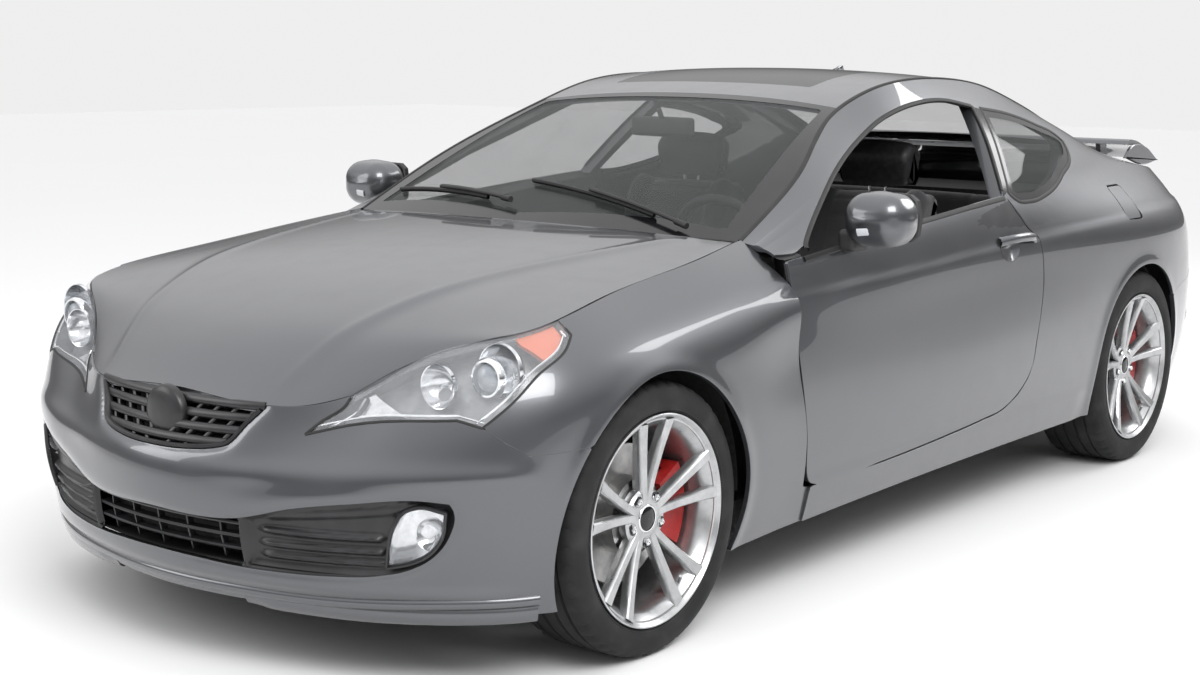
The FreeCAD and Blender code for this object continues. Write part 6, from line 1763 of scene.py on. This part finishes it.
def cabin():
    across = np.array([0, 1.0, 0])
    axis = np.array([-math.cos(WHEEL_TILT), 0, math.sin(WHEEL_TILT)])
    down = np.cross(axis, across)
    turn = np.column_stack([across, down, axis])
    angle = np.linspace(0, 2 * np.pi, 72, endpoint=False)
    ring = WHEEL_CENTRE + 172 * (np.cos(angle)[:, None] * across + np.sin(angle)[:, None] * down)
    grip = 15.0 + 1.6 * np.exp(-((np.abs(np.cos(angle)) - 0.9) / 0.12) ** 2)
    wheel = rod(ring, grip, 20, True)
    wheel.add(rounded_block((-66, -50, -36), (66, 62, 6), 26, 5, 5.0).moved(turn, WHEEL_CENTRE))
    piece("steering_wheel_rim", wheel, "steering_wheel", SEAT_LEATHER, ["steering_wheel"],
          60.0)
    spokes = Shape()
    for low, high in (((58, -14, -26), (166, 16, -8)), ((-166, -14, -26), (-58, 16, -8)),
                      ((-20, 54, -26), (20, 166, -8))):
        spokes.add(rounded_block(low, high, 7, 3).moved(turn, WHEEL_CENTRE))
    spokes.add(rod(np.array([WHEEL_CENTRE - axis * 28, WHEEL_CENTRE - axis * 90]), 8.5, 24))
    piece("steering_wheel_spokes", spokes, "steering_wheel", ALLOY)
    backward = np.array([[0, -1.0, 0], [1, 0, 0], [0, 0, 1]])
    dials = Shape()
    for y, z, size in ((315, 872, 40), (425, 872, 40), (370, 888, 20)):
        form = turned([(size - 6, 0), (size - 4, 5), (size, 7), (size + 3, 4), (size + 3, -6)], 48, False)
        dials.add(form.moved(backward, np.array([690.0, y, z])))
    for y, z in ((535, 800), (60, 815), (-60, 815), (-535, 800)):
        form = turned([(24, -2), (26, 4), (31, 6), (35, 3), (36, -4)], 40, False)
        dials.add(form.moved(backward, np.array([698.0, y, z])))
    piece("dash_rings", dials, "body", CHROME)
    screen = rounded_block((686, -92, 748), (702, 92, 792), 4, 3)
    screen.add(rounded_block((688, 262, 838), (704, 478, 916), 6, 3))
    piece("dash_screens", screen, "body", GLOSS)
    mirror = rounded_block((296, -118, 1168), (318, 118, 1226), 10, 4, 2.0)
    mirror.add(rod(np.array([(310.0, 0, 1220), (330.0, 0, 1252)]), 8.0, 16))
    piece("inner_mirror", mirror, "body", BLACK)
    selector = rod(np.array([(150.0, 0, 515), (156.0, 0, 580), (150.0, 0, 612)]), np.array([9.0, 12, 20]), 24)
    piece("gear_selector", selector, "body", SEAT_LEATHER, sharp=70.0)


tail_lamps()
rear_trim()
wing()
lips()
corner_covers()
b_pillars()
seats()
cabin()

# Floor, light and background

FLOOR_TONE = (0.80, 0.80, 0.80)


def studio():
    look = Look("floor", specular_ior_level=0.2)
    tint = look.blend(look.noise(0.7, 3.0), FLOOR_TONE, tuple(part * 0.985 for part in FLOOR_TONE))
    bpy.ops.mesh.primitive_plane_add(size=60)
    ground = bpy.context.object
    ground.name = "floor"
    ground.data.materials.append(look.finish(base_color=tint, roughness=look.noise(3.0) * 0.1 + 0.75))
    world = bpy.data.worlds.new("studio")
    bpy.context.scene.world = world
    world.use_nodes = True
    nodes, links = world.node_tree.nodes, world.node_tree.links
    light = nodes["Background"]
    place = nodes.new("ShaderNodeTexCoord")
    split = nodes.new("ShaderNodeSeparateXYZ")
    ramp = nodes.new("ShaderNodeValToRGB")
    links.new(place.outputs["Generated"], split.inputs["Vector"])
    links.new(split.outputs["Z"], ramp.inputs["Fac"])
    links.new(ramp.outputs["Color"], light.inputs["Color"])
    for position, tone in SKY:
        element = ramp.color_ramp.elements.new(position)
        element.color = (tone, tone, tone * 1.01, 1)
    for element in list(ramp.color_ramp.elements)[:1] + list(ramp.color_ramp.elements)[-1:]:
        element.color = (SKY[0][1],) * 3 + (1,) if element.position < 0.5 else (SKY[-1][1],) * 3 + (1,)
    plain = nodes.new("ShaderNodeBackground")
    plain.inputs["Color"].default_value = (0.86, 0.86, 0.86, 1)
    rays = nodes.new("ShaderNodeLightPath")
    seen = nodes.new("ShaderNodeMixShader")
    links.new(rays.outputs["Is Camera Ray"], seen.inputs[0])
    links.new(light.outputs["Background"], seen.inputs[1])
    links.new(plain.outputs["Background"], seen.inputs[2])
    links.new(seen.outputs["Shader"], nodes["World Output"].inputs["Surface"])
    for name, place, aim, size, power in LAMPS:
        lamp = bpy.data.lights.new(name, "AREA")
        lamp.shape = "RECTANGLE"
        lamp.size, lamp.size_y = size
        lamp.energy = power
        item = bpy.data.objects.new(name, lamp)
        item.location = place
        item.rotation_euler = (Vector(aim) - Vector(place)).to_track_quat("-Z", "Y").to_euler()
        bpy.context.scene.collection.objects.link(item)


SKY = ((0.02, 0.14), (0.12, 0.26), (0.3, 0.7), (0.6, 1.15), (0.95, 1.4))
LAMPS = [
    ("key_light", (3.5, 4.5, 5.0), (0.3, 0.0, 0.6), (4.0, 3.0), 300.0),
    ("fill_light", (5.5, -4.0, 3.0), (0.5, 0.0, 0.5), (3.0, 2.5), 70.0),
    ("rear_light", (-5.0, 2.5, 4.0), (-0.5, 0.0, 0.8), (3.0, 2.0), 90.0),
]
studio()
bpy.context.scene.view_settings.view_transform = "Standard"
